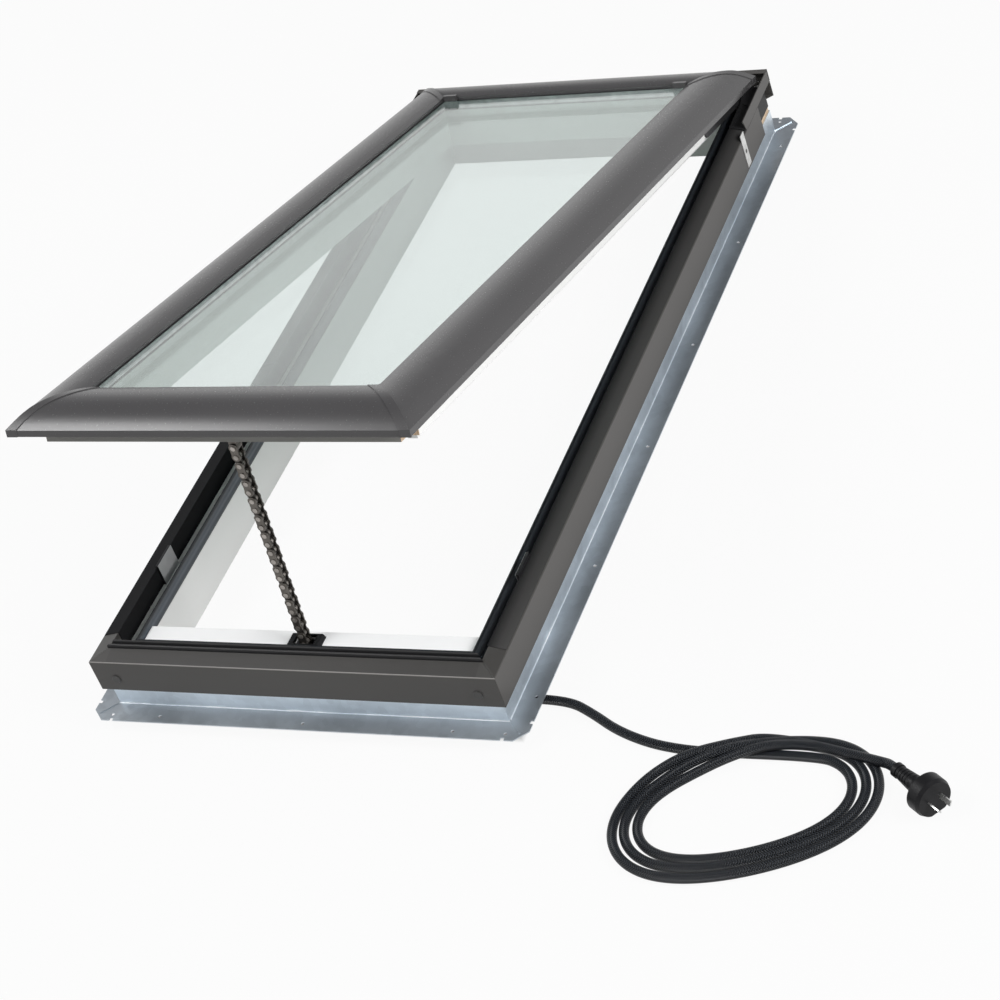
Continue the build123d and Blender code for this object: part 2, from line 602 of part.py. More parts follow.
def sprocket_centre():
    """Middle of the wheel, beside the chain's line and level with its last rivet, which sits in a tooth gap."""
    tail, tilt = CHAIN_TAIL_LINKS * PITCH, math.radians(CHAIN_LEAN_DEG)
    return -sprocket_pitch_r(), CHAIN_Y - tail * math.sin(tilt), CHAIN_Z - tail * math.cos(tilt)


def sprocket():
    """Drive sprocket on its shaft across the housing, with round seats for the chain's rollers."""
    x, y, z = sprocket_centre()
    wood_y = WOOD_INNER - HALF_L
    y0, y1 = wood_y - POCKET_D + HOUSING_CLEAR, wood_y + OPERATOR_COVER_D - OPERATOR_COVER_T - HOUSING_CLEAR
    wheel = rod_y(sprocket_tip_r(), x, y - SPROCKET_T / 2, y + SPROCKET_T / 2, z)
    for tooth in range(SPROCKET_TEETH):
        turn = 2 * math.pi * tooth / SPROCKET_TEETH
        seat_x, seat_z = x + sprocket_pitch_r() * math.cos(turn), z + sprocket_pitch_r() * math.sin(turn)
        wheel -= rod_y(ROLLER_R + SPROCKET_SEAT_GAP, seat_x, y - SPROCKET_T, y + SPROCKET_T, seat_z)
    return {"drive_sprocket": wheel + rod_y(SPROCKET_SHAFT_R, x, y0, y1, z)}


def swing(shape):
    """The closed sash's place, opened about the hinge."""
    return shape.rotate(Axis((0, HINGE_Y, HINGE_Z), (1, 0, 0)), -OPEN_DEG)


def cover_points(width, shift):
    """Points of a cover's curve; shift moves it in by a wall."""
    rise = CREST_H - LIP_H
    return [(shift + a * (width - 2 * shift), LIP_Z + LIP_H + b * rise - shift) for a, b in COVER_CURVE_SHARES]


def cover_height(width, depth):
    """Height of a cover's outer face at a depth, between the points of its curve."""
    points = cover_points(width, 0)
    for (a, low), (b, high) in zip(points, points[1:]):
        if a <= depth <= b:
            return low + (high - low) * (depth - a) / (b - a)


def cover_face(width):
    """Section of a cover: lip, curved sheet and the inner edge that turns down to the glazing gasket."""
    outer, inner = cover_points(width, 0), cover_points(width, COVER_T)
    foot = LIP_Z + GLASS_TOP_H + GLAZING_T
    edge = Polyline((width, outer[-1][1]), (width, foot), (width - COVER_T, foot), inner[-1])
    lip = Polyline(inner[0], (COVER_T, LIP_Z), (0, LIP_Z), outer[0])
    return make_face([Spline(*outer), *edge.edges(), Spline(*inner), *lip.edges()])


def cover_box():
    """Plan rectangle of the covers' inner edges."""
    return grow(LIP_BOX, -COVER_SIDE_W, -COVER_SIDE_W, -COVER_FOOT_W, -COVER_HEAD_W)


def sash_covers():
    """Four covers, mitred at the corners."""
    inner = cover_box()
    return {f"sash_cover_{side}": swing(ring_side(cover_face(COVER_WIDTHS[side]), LIP_BOX, inner, side))
            for side in SIDES}


def cap_face(width, thick):
    """Section of a strip that follows a cover's curve just outside it; depth starts at the strip's own face."""
    low = [(a + thick, b + CORNER_CAP_GAP) for a, b in cover_points(width, 0)]
    high = [(a + thick, b + thick) for a, b in cover_points(width, 0)]
    high[0] = (0, high[0][1])
    low[0] = (thick - CORNER_CAP_GAP, low[0][1])
    lip = Polyline(low[0], (thick - CORNER_CAP_GAP, LIP_Z), (0, LIP_Z), high[0])
    return make_face([Spline(*high), Line(high[-1], low[-1]), Spline(*low), *lip.edges()])


def joint_caps(end, lower, upper):
    """Strips over both joints at one end of the sash; lower and upper move the strip's edges on the right-hand one."""
    outer = grow(LIP_BOX, CORNER_CAP_T, CORNER_CAP_T, CORNER_CAP_T, CORNER_CAP_T)
    inner = cover_box()
    first = SIDES.index("right") if end == "foot" else SIDES.index("head")
    a, b = Vector(*corners(outer)[first]), Vector(*corners(inner)[first])
    reach = (b - a).normalized() * OVERRUN
    ends = [a - reach + lower, a - reach + upper, b + reach + upper, b + reach + lower]
    band = slab([(p.X, p.Y) for p in ends], LIP_Z - OVERRUN, LIP_Z + CREST_H + OVERRUN)
    arms = [ring_side(cap_face(COVER_WIDTHS[side], CORNER_CAP_T), outer, inner, side) for side in (end, "right")]
    return [piece for arm in arms for piece in (swing(arm & band), mirror(swing(arm & band), Plane.YZ))]


def corner_caps():
    """Strips over the foot joints, laid on the foot cover beside each joint."""
    return {"corner_caps": Compound(joint_caps("foot", Vector(-CORNER_CAP_W, 0), Vector(CORNER_CAP_OVER, 0)))}


def end_caps():
    """Strips over the head joints, laid on the side covers, each with a clip on the glazing gasket."""
    caps = joint_caps("head", Vector(0, -END_CAP_W), Vector(0, END_CAP_OVER))
    box, low = cover_box(), LIP_Z + GLASS_TOP_H + GLAZING_T
    clip = block(box[1] - GLAZING_SHOW - CLIP_W, box[1] - GLAZING_SHOW, box[3] - CLIP_D, box[3], low, low + CLIP_H)
    return {"end_caps": Compound(caps + [swing(clip), mirror(swing(clip), Plane.YZ)])}


def ring_slab(outer, inner, z0, z1):
    """Flat rectangular ring."""
    return slab(corners(outer), z0, z1) - slab(corners(inner), z0 - OVERRUN, z1 + OVERRUN)


def glazing():
    """Sealed unit: two panes, the spacer between them, the bed under it and the gasket on top of it."""
    edge = shrink(cover_box(), -GLASS_TUCK)
    top = LIP_Z + GLASS_TOP_H
    mid_top, mid_low = top - PANE_T, top - PANE_T - SPACER_T
    low = mid_low - PANE_T
    lens = {"outer_pane": slab(corners(edge), mid_top, top), "inner_pane": slab(corners(edge), low, mid_low),
            "spacer_bar": ring_slab(edge, shrink(edge, SPACER_W), mid_low, mid_top)}
    ledge = shrink(cover_box(), -LEDGE_HIDE)
    lens["glass_bed"] = ring_slab(edge, ledge, low - BED_T, low)
    gasket_in = shrink(cover_box(), GLAZING_SHOW)
    lens["glazing_gasket"] = ring_slab(shrink(gasket_in, -GLAZING_W), gasket_in, top, top + GLAZING_T)
    return {name: swing(piece) for name, piece in lens.items()}


def sash_wood():
    """Four rails with a glass rebate, bevelled under the covers, notched at the foot corners and for the hinges."""
    side = HEM_EDGE + STRIP_T + GUIDE_T + SEAT_GAP - SASH_SIDE_INSET
    foot, head = HEM_EDGE + SASH_FOOT_CLEAR - SASH_FOOT_INSET, HEM_EDGE + SASH_HEAD_CLEAR - SASH_HEAD_INSET
    setbacks = {"left": side, "right": side, "foot": foot, "head": head}
    outer = grow(LIP_BOX, **{side: -depth for side, depth in setbacks.items()})
    inner = shrink(cover_box(), -LEDGE_HIDE)
    low, top = LIP_Z - SASH_WOOD_DROP, LIP_Z + GLASS_TOP_H
    ledge = top - 2 * PANE_T - SPACER_T - BED_T
    shoulder = cover_height(COVER_SIDE_W, side) - COVER_ROOM
    rails = {}
    for name, setback in setbacks.items():
        wall = COVER_WIDTHS[name] - GLASS_TUCK - GLASS_GAP - setback
        deep = COVER_WIDTHS[name] - LEDGE_HIDE - setback
        profile = section([(0, low), (0, shoulder), (SASH_BEVEL_W, top), (wall, top), (wall, ledge), (deep, ledge),
                           (deep, low)])
        rails[name] = ring_side(profile, outer, inner, name)
    notch = block(outer[1] - NOTCH_ACROSS, outer[1] + OVERRUN, outer[2] - OVERRUN, outer[2] + NOTCH_ALONG,
                  low - OVERRUN, top + OVERRUN)
    _, _, mortise_x = hinge_places()
    tail = HINGE_Y - SASH_PLATE_TAIL - MORTISE_GAP
    half = SASH_PLATE_W / 2 + MORTISE_GAP
    mortise = block(mortise_x, outer[1] + OVERRUN, tail, outer[3] + OVERRUN, low - OVERRUN, HINGE_Z + half)
    cutters = [shape for cut in (notch, mortise) for shape in (cut, mirror(cut, Plane.YZ))]
    return {f"sash_{name}_rail": swing(rail - cutters) for name, rail in rails.items()}


def sash_hinges():
    """Plates let into the side rails over their whole drop, each with a pin that turns in the frame bracket."""
    bracket_x, plate_x, _ = hinge_places()
    half = SASH_PLATE_W / 2
    tail, low = HINGE_Y - SASH_PLATE_TAIL, LIP_Z - SASH_WOOD_DROP
    outline = [(tail + half, low), (HINGE_Y - half, low), (HINGE_Y, HINGE_Z - half), (HINGE_Y, HINGE_Z + half),
               (tail, HINGE_Z + half), (tail, low + half)]
    plate = across(outline, plate_x, plate_x + PLATE_T)
    plate += rod_x(half, plate_x, plate_x + PLATE_T, HINGE_Y, HINGE_Z)
    plate -= rod_x(PIN_R, plate_x - OVERRUN, plate_x + PLATE_T + OVERRUN, HINGE_Y, HINGE_Z)
    pin = rod_x(PIN_R, plate_x, bracket_x + PLATE_T - SEAT_GAP, HINGE_Y, HINGE_Z)
    return {"sash_hinge_plates": pair(swing(plate)), "hinge_pins": pair(swing(pin))}


def chain_bracket():
    """Base under the sash's foot rail, two cheeks and the cross pin that carries the chain's end."""
    top = LIP_Z - SASH_WOOD_DROP
    base = block(-BRACKET_BASE_L / 2, BRACKET_BASE_L / 2, CHAIN_Y - BRACKET_BASE_W / 2, CHAIN_Y + BRACKET_BASE_W / 2,
                 top - BRACKET_BASE_T, top)
    inside = LINK_R + CHEEK_GAP
    window = END_EYE_R + CHEEK_GAP
    base -= block(-inside, inside, CHAIN_Y - window, CHAIN_Y + window, CHAIN_Z, LIP_Z)
    for x in (-inside - CHEEK_T, inside):
        cheek = block(x, x + CHEEK_T, CHAIN_Y - CHEEK_R, CHAIN_Y + CHEEK_R, CHAIN_Z, top - BRACKET_BASE_T)
        base += cheek + rod_x(CHEEK_R, x, x + CHEEK_T, CHAIN_Y, CHAIN_Z)
    reach = inside + CHEEK_T
    base -= rod_x(END_PIN_R, -reach - OVERRUN, reach + OVERRUN, CHAIN_Y, CHAIN_Z)
    pin = rod_x(END_PIN_R, -reach, reach, CHAIN_Y, CHAIN_Z)
    return {"chain_bracket": swing(base), "chain_bracket_pin": swing(pin)}


def lean(shape):
    """A chain piece drawn upright from the mouth, in its place beside the open sash."""
    return Pos(0, CHAIN_Y, CHAIN_Z) * Rot(-CHAIN_LEAN_DEG, 0, 0) * shape


def prism_y(sides, radius, y0, y1, z):
    """Bar along Y with a many-sided section, for the chain's repeated small parts."""
    return extrude(Plane((0, y0, z), x_dir=(-1, 0, 0), z_dir=(0, 1, 0)) * RegularPolygon(radius, sides), y1 - y0)


def link_plate(y):
    """Waisted plate over two rivets, starting at the lower rivet, with its near face at y."""
    ends = [Pos(0, at) * RegularPolygon(LINK_R, LINK_SIDES) for at in (0, PITCH)]
    holes = [Pos(0, at) * RegularPolygon(RIVET_R + ROLLER_GAP, RIVET_SIDES) for at in (0, PITCH)]
    waist = Pos(0, PITCH / 2) * Rectangle(2 * LINK_R * WAIST_SHARE, PITCH)
    face = Plane((0, y, 0), x_dir=(-1, 0, 0), z_dir=(0, 1, 0)) * (ends[0] + ends[1] + waist - holes)
    return extrude(face, LINK_T)


def chain():
    """Alternate outer and inner links on through rivets with rollers, and the end fitting on the sash's pin."""
    inner_y, outer_y = CHAIN_INNER / 2, CHAIN_INNER / 2 + LINK_T + LINK_GAP
    levels = range(-CHAIN_TAIL_LINKS, CHAIN_LINKS)
    plates = {"outer": [], "inner": []}
    for level in levels[:-1]:
        kind, y = ("inner", inner_y) if level % 2 else ("outer", outer_y)
        plates[kind] += [Pos(0, 0, level * PITCH) * link_plate(side) for side in (y, -y - LINK_T)]
    head_y = outer_y + LINK_T
    roller_half = inner_y - ROLLER_GAP
    rivets = []
    for level in levels:
        z = level * PITCH
        rivet = prism_y(RIVET_SIDES, RIVET_R, -head_y, head_y, z)
        if level < levels[-1]:
            rivet += prism_y(RIVET_SIDES, ROLLER_R, -roller_half, roller_half, z)
        for y in (-head_y - RIVET_HEAD_T, head_y):
            rivet += prism_y(RIVET_SIDES, RIVET_HEAD_R, y, y + RIVET_HEAD_T, z)
        rivets.append(rivet)
    top, last = CHAIN_LINKS * PITCH, levels[-1] * PITCH
    wide, tongue = LINK_R, inner_y + LINK_T
    fitting = rod_x(END_EYE_R, -wide, wide, 0, top) + rod_y(wide, 0, -tongue, tongue, last)
    fitting += block(-wide * WAIST_SHARE, wide * WAIST_SHARE, -tongue, tongue, last, top)
    fitting -= rod_x(END_PIN_R + END_PIN_GAP, -wide - OVERRUN, wide + OVERRUN, 0, top)
    fitting -= rod_y(RIVET_R + ROLLER_GAP, 0, -tongue - OVERRUN, tongue + OVERRUN, last)
    return {"chain_outer_plates": Compound([lean(p) for p in plates["outer"]]),
            "chain_inner_plates": Compound([lean(p) for p in plates["inner"]]),
            "chain_rivets": Compound([lean(r) for r in rivets]), "chain_end_eye": lean(fitting)}


def arc_radii(route):
    """The largest even bend at each point: a share of the shorter run beside it over the tangent of half its turn."""
    radii = []
    for a, b, c in zip(route, route[1:], route[2:]):
        first, second = Vector(*b) - Vector(*a), Vector(*c) - Vector(*b)
        half_turn = math.radians(first.get_angle(second) / 2)
        radii.append(ARC_SHARE * min(first.length, second.length) / math.tan(half_turn))
    return radii


def ellipse_slab(long_r, short_r, height):
    """Upright elliptical solid of the coil, on the floor."""
    seat = Plane((COIL_X, COIL_Y, 0)) * Rot(0, 0, COIL_TURN_DEG)
    return extrude(seat * Ellipse(long_r, short_r), height)


def mains_lead():
    """Gland on the right rail, the lead, the coil's outer shape, the tail, and the plug with two flat pins."""
    x0 = HALF_W - WOOD_INSET
    gland_y = GLAND_FROM_FOOT - HALF_L
    gland = rod_x(GLAND_NUT_R, x0, x0 + GLAND_NUT_L, gland_y, GLAND_Z)
    gland += Pos(x0 + (GLAND_NUT_L + GLAND_L) / 2, gland_y, GLAND_Z) * Rot(0, 90, 0) * Cone(
        GLAND_NECK_R, CORD_D / 2, GLAND_L - GLAND_NUT_L)
    radii = arc_radii(CORD_ROUTE)
    print("lead bend radii", [round(r) for r in radii])
    path = FilletPolyline(*CORD_ROUTE, radius=radii)
    lead = sweep(Plane(path @ 0, z_dir=path % 0) * Circle(CORD_D / 2), path=path)
    print("lead volume over section times length", lead.volume / (math.pi * CORD_D ** 2 / 4 * path.length))
    height = COIL_LAYERS * CORD_D
    coil = ellipse_slab(COIL_LONG_R + CORD_D / 2, COIL_SHORT_R + CORD_D / 2, height)
    coil -= ellipse_slab(COIL_INNER_LONG_R - CORD_D / 2, COIL_INNER_SHORT_R - CORD_D / 2, height)
    seat = Pos(PLUG_X, PLUG_Y, PLUG_FLAT) * Rot(0, 0, PLUG_TURN_DEG)
    bend = FilletPolyline((0, 0, 0), (-TAIL_RUN, 0, 0), (-3 * TAIL_RUN, 0, -TAIL_DIP), radius=2 * TAIL_RUN)
    tail = seat * sweep(Plane(bend @ 0, z_dir=bend % 0) * Circle(CORD_D / 2), path=bend) - coil
    lead -= coil
    return {"cable_gland": gland, "cord_lead": lead, "cord_coil": coil, "cord_tail": tail,
            "plug_body": seat * plug_body(), "plug_pins": seat * plug_pins()}


def plug_body():
    """Moulded plug along X from the collar: ribbed neck, flare and a flat-sided disc with a bevelled face."""
    disc = PLUG_L - PLUG_DISC_L
    flare = COLLAR_L + NECK_L
    outline = Polyline((0, 0), (0, COLLAR_R), (COLLAR_L, COLLAR_R), (COLLAR_L, NECK_R), (flare, NECK_END_R))
    bell = TangentArc((disc, PLUG_R), (flare, NECK_END_R), tangent=(0, -1))
    face = Polyline((disc, PLUG_R), (PLUG_L - PLUG_FACE_EDGE, PLUG_R), (PLUG_L, PLUG_FACE_R), (PLUG_L, 0), (0, 0))
    half = make_face([*outline.edges(), *bell.edges(), *face.edges()])
    body = revolve(half, Axis.X, 360)
    step = NECK_L / NECK_RIBS
    for rib in range(1, NECK_RIBS):
        x = COLLAR_L + rib * step
        groove = rod_x(PLUG_R, x - RIB_DEEP / 2, x + RIB_DEEP / 2, 0, 0)
        groove -= rod_x(NECK_R - RIB_DEEP, x - RIB_DEEP, x + RIB_DEEP, 0, 0)
        body -= groove
    return body - block(-OVERRUN, PLUG_L + OVERRUN, -PLUG_R, PLUG_R, -PLUG_R - OVERRUN, -PLUG_FLAT)


def plug_pins():
    """Two flat blades on the plug's face, set as a V."""
    blade = block(PLUG_L, PLUG_L + BLADE_L, -BLADE_T / 2, BLADE_T / 2, -BLADE_W / 2, BLADE_W / 2)
    right = Pos(0, -BLADE_OFFSET, 0) * Rot(BLADE_TURN_DEG, 0, 0) * blade
    return Compound([right, mirror(right, Plane.XZ)])


def skylight():
    """Every named sub-part in its place."""
    nodes = {}
    for make in (frame_wood, deck_flanges, frame_cladding, hood, corner_blocks, frame_trim, frame_seals, frame_hinges,
                 operator, sprocket, sash_wood, glazing, sash_covers, corner_caps, end_caps, sash_hinges, chain_bracket,
                 chain, mains_lead):
        nodes.update(make())
    return nodes


os.makedirs("parts", exist_ok=True)
print("chain stroke", round(CHAIN_STROKE, 2), "pitch", round(PITCH, 3), "lean", round(CHAIN_LEAN_DEG, 3))
for name, solid in skylight().items():
    export_step(solid, f"parts/{name}.step")
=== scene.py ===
import math

import bpy
import numpy as np
from mathutils import Matrix, Vector


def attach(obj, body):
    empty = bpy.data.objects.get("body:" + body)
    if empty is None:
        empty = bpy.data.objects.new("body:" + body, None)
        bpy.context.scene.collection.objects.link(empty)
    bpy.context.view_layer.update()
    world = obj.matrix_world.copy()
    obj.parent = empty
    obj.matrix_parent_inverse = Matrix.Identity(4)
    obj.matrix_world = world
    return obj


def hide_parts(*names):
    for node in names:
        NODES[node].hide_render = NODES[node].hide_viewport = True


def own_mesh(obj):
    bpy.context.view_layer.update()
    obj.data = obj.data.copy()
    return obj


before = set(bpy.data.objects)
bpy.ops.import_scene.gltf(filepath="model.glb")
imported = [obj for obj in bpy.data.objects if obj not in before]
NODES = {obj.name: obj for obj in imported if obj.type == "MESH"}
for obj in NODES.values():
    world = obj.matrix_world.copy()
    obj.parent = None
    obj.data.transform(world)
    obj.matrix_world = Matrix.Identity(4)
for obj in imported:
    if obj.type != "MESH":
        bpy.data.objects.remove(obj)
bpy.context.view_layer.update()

# Top-hinged roof skylight, standing open: looks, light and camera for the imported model.
# Metres; X across the slope, +Y up the slope to the hinge, +Z out of the roof.

# Camera, fitted to the photo's frame
CAMERA_AT = (1.68593, -2.59994, 2.21974)
CAMERA_RIGHT = (0.90061601, 0.3274224, -0.28580653)
CAMERA_DOWN = (0.00987725, -0.67285724, -0.73970641)
CAMERA_AHEAD = (-0.43450344, 0.66336845, -0.60922004)
LENS_MM = 102.79
SENSOR_MM = 36.0

# Hinge and opening, as the part has them
HINGE_Y = 0.556
HINGE_Z = 0.114
OPEN_DEG = 15.69

# Lining boards under the sash rails, in the closed pose
LINING_X = 0.1950
LINING_T = 0.0125
LINING_FOOT_Y = -0.4780
LINING_HEAD_Y = 0.5030
LINING_TOP_Z = 0.0942
LINING_DEPTH = 0.034

# Directions
RIGHT = (1.0, 0.0, 0.0)
LEFT = (-1.0, 0.0, 0.0)
UP_SLOPE = (0.0, 1.0, 0.0)
DOWN_SLOPE = (0.0, -1.0, 0.0)
UP = (0.0, 0.0, 1.0)
DOWN = (0.0, 0.0, -1.0)

# Where bare timber and the painted shade on the sash foot rail's face under the lip begin, as distances from
# the origin
FRAME_BARE_X = 0.2648
FRAME_BARE_Y = 0.50
SASH_FOOT_END = 0.2325
SASH_FOOT_FACE = 0.6100
SASH_SIDE_END = 0.5925

# Levels of the frame gasket, between which its painted light and shade runs; the guides' inner faces, beyond
# which the guides are painted dark as shade; and the side strips across, where the right strip's painted light
# runs, and at their foot end, past which the cladding's side slopes get painted shade
GASKET_Z = (0.0775, 0.0939)
GUIDE_FACE_X = 0.2473
STRIP_X = (0.2505, 0.2765)
STRIP_END_Y = 0.54

# Outside of the flange's leg, which a painted reflection lightens, its fold, which a painted highlight line
# marks, and the foot cladding's slope and shoulder, with painted shade on the slope and a painted highlight on
# the shoulder's fold
LEG_X = 0.2668
LEG_Y = 0.5818
FOLD_W = 0.0009
FOLD_Z = 0.0202
SLOPE_Y = 0.566
SHOULDER_Y = 0.5889
SHOULDER_Z = 0.0983
SHOULDER_BAND = 0.0012

# Folded sheet of the frame: its pieces, the bevel on their folds, and the sharpest angle left alone
FRAME_SHEETS = (
    "frame_cladding_foot", "frame_cladding_left", "frame_cladding_right", "frame_cladding_head", "head_hood",
    "hood_legs",
)
FOLD_BEVEL = 0.0012
FOLD_ANGLE_DEG = 25.0
WELD_GAP = 1e-5

# Painted shadow on the floor close under the flange, which only its nail holes show: distances left, right,
# down and up the slope
SHADE_OUTSIDE = (0.277, 0.277, 0.589, 0.582)
SHADE_INSIDE = (0.246, 0.246, 0.564, 0.562)
SHADE_SOFT = 0.007

# Floor, open and under the flange, where a painted shadow darkens it: tone of its paper, and share of white
# that is seen in it
FLOOR_HALF = 14.0
FLOOR_Z = -0.0005
FLOOR_TONES = ((0.45, 0.45, 0.45), (0.06, 0.06, 0.06))
FLOOR_SEEN = (0.94, 0.06)

# Surround: colours seen by height, and the strength of its light
SKY_STOPS = [(0.10, (1.0, 1.0, 1.0)), (0.45, (0.24, 0.24, 0.25))]
SKY_LIGHT = 0.26

# Lamps: name, place, aim, width and height, power
LAMPS = [
    ("Key", (3.0, -0.75, 2.0), (0.0, -0.1, 0.1), (1.7, 1.5), 112.0),
    ("Fill", (-3.8, 0.4, 1.6), (0.0, -0.2, 0.1), (2.2, 1.4), 44.0),
    ("Top", (-1.65, -1.12, 2.75), (0.0, -0.5, 0.3), (1.5, 0.9), 60.0),
]

# Mains lead
CORD_D = 0.0115
CORD_ROUTE = [
    (0.283, -0.535, 0.009),
    (0.322, -0.535, 0.009),
    (0.358, -0.552, 0.0068),
    (0.395, -0.575, 0.0058),
    (0.440, -0.592, 0.0058),
    (0.480, -0.599, 0.0058),
    (0.518, -0.601, 0.0058),
]
COIL_CENTRE = (0.5806, -0.6817)
COIL_TURN_DEG = 21.4
COIL_TURNS = 2.96
COIL_START_DEG = 60.0
COIL_POINTS_PER_TURN = 20
COIL_FULLNESS = 0.15
# One lane for each turn, and the lane of the tail: half length, half width, shift across
COIL_LANES = [
    (0.1215, 0.0685, 0.0035),
    (0.1370, 0.0800, 0.0030),
    (0.1510, 0.0920, 0.0010),
    (0.1640, 0.1070, 0.0000),
]
LANE_CHANGE = (0.76, 1.06)
# Where each later turn passes over the incoming lead, in degrees, and how wide its hump is
COIL_HUMPS_DEG = (78.0, 97.0, 114.0)
COIL_HUMP_SPAN_DEG = 24.0
COIL_HUMP = 1.02 * CORD_D
TAIL = [(0.7235, -0.6097, 0.0135), (0.7330, -0.6171, 0.0182), (0.7412, -0.6234, 0.0190)]
# Braid: chevrons for each metre along and for each turn around
BRAID_ALONG = 340.0
BRAID_AROUND = 5.0


def node_tree(name):
    """New material with an empty tree and its output."""
    mat = bpy.data.materials.new(name)
    mat.use_nodes = True
    tree = mat.node_tree
    tree.nodes.clear()
    out = tree.nodes.new("ShaderNodeOutputMaterial")
    return mat, tree, out


def add(tree, kind, **inputs):
    """Node with plain socket values; underscores in the names stand for spaces."""
    node = tree.nodes.new(kind)
    for key, value in inputs.items():
        node.inputs[key.replace("_", " ")].default_value = value
    return node


def place(tree, scale=(1.0, 1.0, 1.0), turn=(0.0, 0.0, 0.0), source="Object"):
    """Pattern coordinates: the piece's own frame, stretched and turned."""
    coords = tree.nodes.new("ShaderNodeTexCoord")
    mapping = tree.nodes.new("ShaderNodeMapping")
    mapping.inputs["Scale"].default_value = scale
    mapping.inputs["Rotation"].default_value = turn
    tree.links.new(coords.outputs[source], mapping.inputs["Vector"])
    return mapping.outputs["Vector"]


def noise(tree, vector, scale, detail=3.0, rough=0.55):
    """Fractal noise value on given coordinates."""
    node = add(tree, "ShaderNodeTexNoise", Scale=scale, Detail=detail, Roughness=rough)
    tree.links.new(vector, node.inputs["Vector"])
    return node.outputs["Fac"]


def span(tree, value, low, high, start=0.0, end=1.0):
    """Value carried linearly from one range to another."""
    node = add(tree, "ShaderNodeMapRange", From_Min=start, From_Max=end, To_Min=low, To_Max=high)
    tree.links.new(value, node.inputs["Value"])
    return node.outputs["Result"]


def ramp(tree, value, stops):
    """Colours by value; stops are (place, colour)."""
    node = tree.nodes.new("ShaderNodeValToRGB")
    elements = node.color_ramp.elements
    while len(elements) < len(stops):
        elements.new(0.5)
    for element, (at, colour) in zip(elements, stops):
        element.position = at
        element.color = (*colour, 1.0)
    tree.links.new(value, node.inputs["Fac"])
    return node.outputs["Color"]


def bump(tree, height, strength, distance):
    """Normal from a height value."""
    node = add(tree, "ShaderNodeBump", Strength=strength, Distance=distance)
    tree.links.new(height, node.inputs["Height"])
    return node.outputs["Normal"]


def shade(colour, by):
    """Colour made lighter or darker by a factor."""
    return tuple(min(1.0, c * by) for c in colour)


def drift(tree, value, colour, low, high, start=0.3, end=0.7):
    """Colour that goes from a darker to a lighter tone of itself with a value."""
    return ramp(tree, value, [(start, shade(colour, low)), (end, shade(colour, high))])


def component(tree, vector, axis):
    """One component of a vector: X, Y or Z."""
    split = tree.nodes.new("ShaderNodeSeparateXYZ")
    tree.links.new(vector, split.inputs["Vector"])
    return split.outputs[axis]


def either(tree, share, first, second):
    """Two shaders mixed: the second by its share."""
    mix = tree.nodes.new("ShaderNodeMixShader")
    tree.links.new(share, mix.inputs["Fac"])
    tree.links.new(first, mix.inputs[1])
    tree.links.new(second, mix.inputs[2])
    return mix.outputs["Shader"]


def coated_sheet(name, colour, rough, shine=0.5, places=()):
    """Powder-coated sheet: broad tone drift, fine grain in roughness and bump. Each of the places, a factor and
    its edges, has its own tone, which paints light: painted shade or a painted highlight."""
    mat, tree, out = node_tree(name)
    at = place(tree)
    broad = noise(tree, at, 3.0, 2.0)
    fine = noise(tree, at, 420.0, 2.0)
    skin = add(tree, "ShaderNodeBsdfPrincipled", Specular_IOR_Level=shine)
    coat = drift(tree, broad, colour, 0.94, 1.06)
    for by, planes in places:
        tone = drift(tree, broad, colour, 0.94 * by, 1.06 * by)
        coat = patched(tree, coat, tone, [planes])
    tree.links.new(coat, skin.inputs["Base Color"])
    tree.links.new(span(tree, fine, rough - 0.003, rough + 0.004, 0.3, 0.7), skin.inputs["Roughness"])
    tree.links.new(bump(tree, fine, 0.004, 0.0004), skin.inputs["Normal"])
    tree.links.new(skin.outputs["BSDF"], out.inputs["Surface"])
    return mat


def beyond(tree, way, edge, soft=5e-5):
    """1 where the distance along a direction in the piece's own frame passes an edge, else 0, with a soft step
    between."""
    dot = tree.nodes.new("ShaderNodeVectorMath")
    dot.operation = "DOT_PRODUCT"
    dot.inputs[1].default_value = way
    tree.links.new(place(tree), dot.inputs[0])
    return span(tree, dot.outputs["Value"], 0.0, 1.0, edge - soft, edge + soft)


def joined(tree, operation, values):
    """Several values taken together with one operation."""
    total = values[0]
    for value in values[1:]:
        both = tree.nodes.new("ShaderNodeMath")
        both.operation = operation
        tree.links.new(total, both.inputs[0])
        tree.links.new(value, both.inputs[1])
        total = both.outputs["Value"]
    return total


def patched(tree, ground, patch, where):
    """Ground colour with another colour inside the places given, each a list of (direction, edge)."""
    places = [joined(tree, "MINIMUM", [beyond(tree, *plane) for plane in planes]) for planes in where]
    pick = tree.nodes.new("ShaderNodeMix")
    pick.data_type = "RGBA"
    tree.links.new(joined(tree, "MAXIMUM", places), pick.inputs["Factor"])
    tree.links.new(ground, pick.inputs[6])
    tree.links.new(patch, pick.inputs[7])
    return pick.outputs[2]


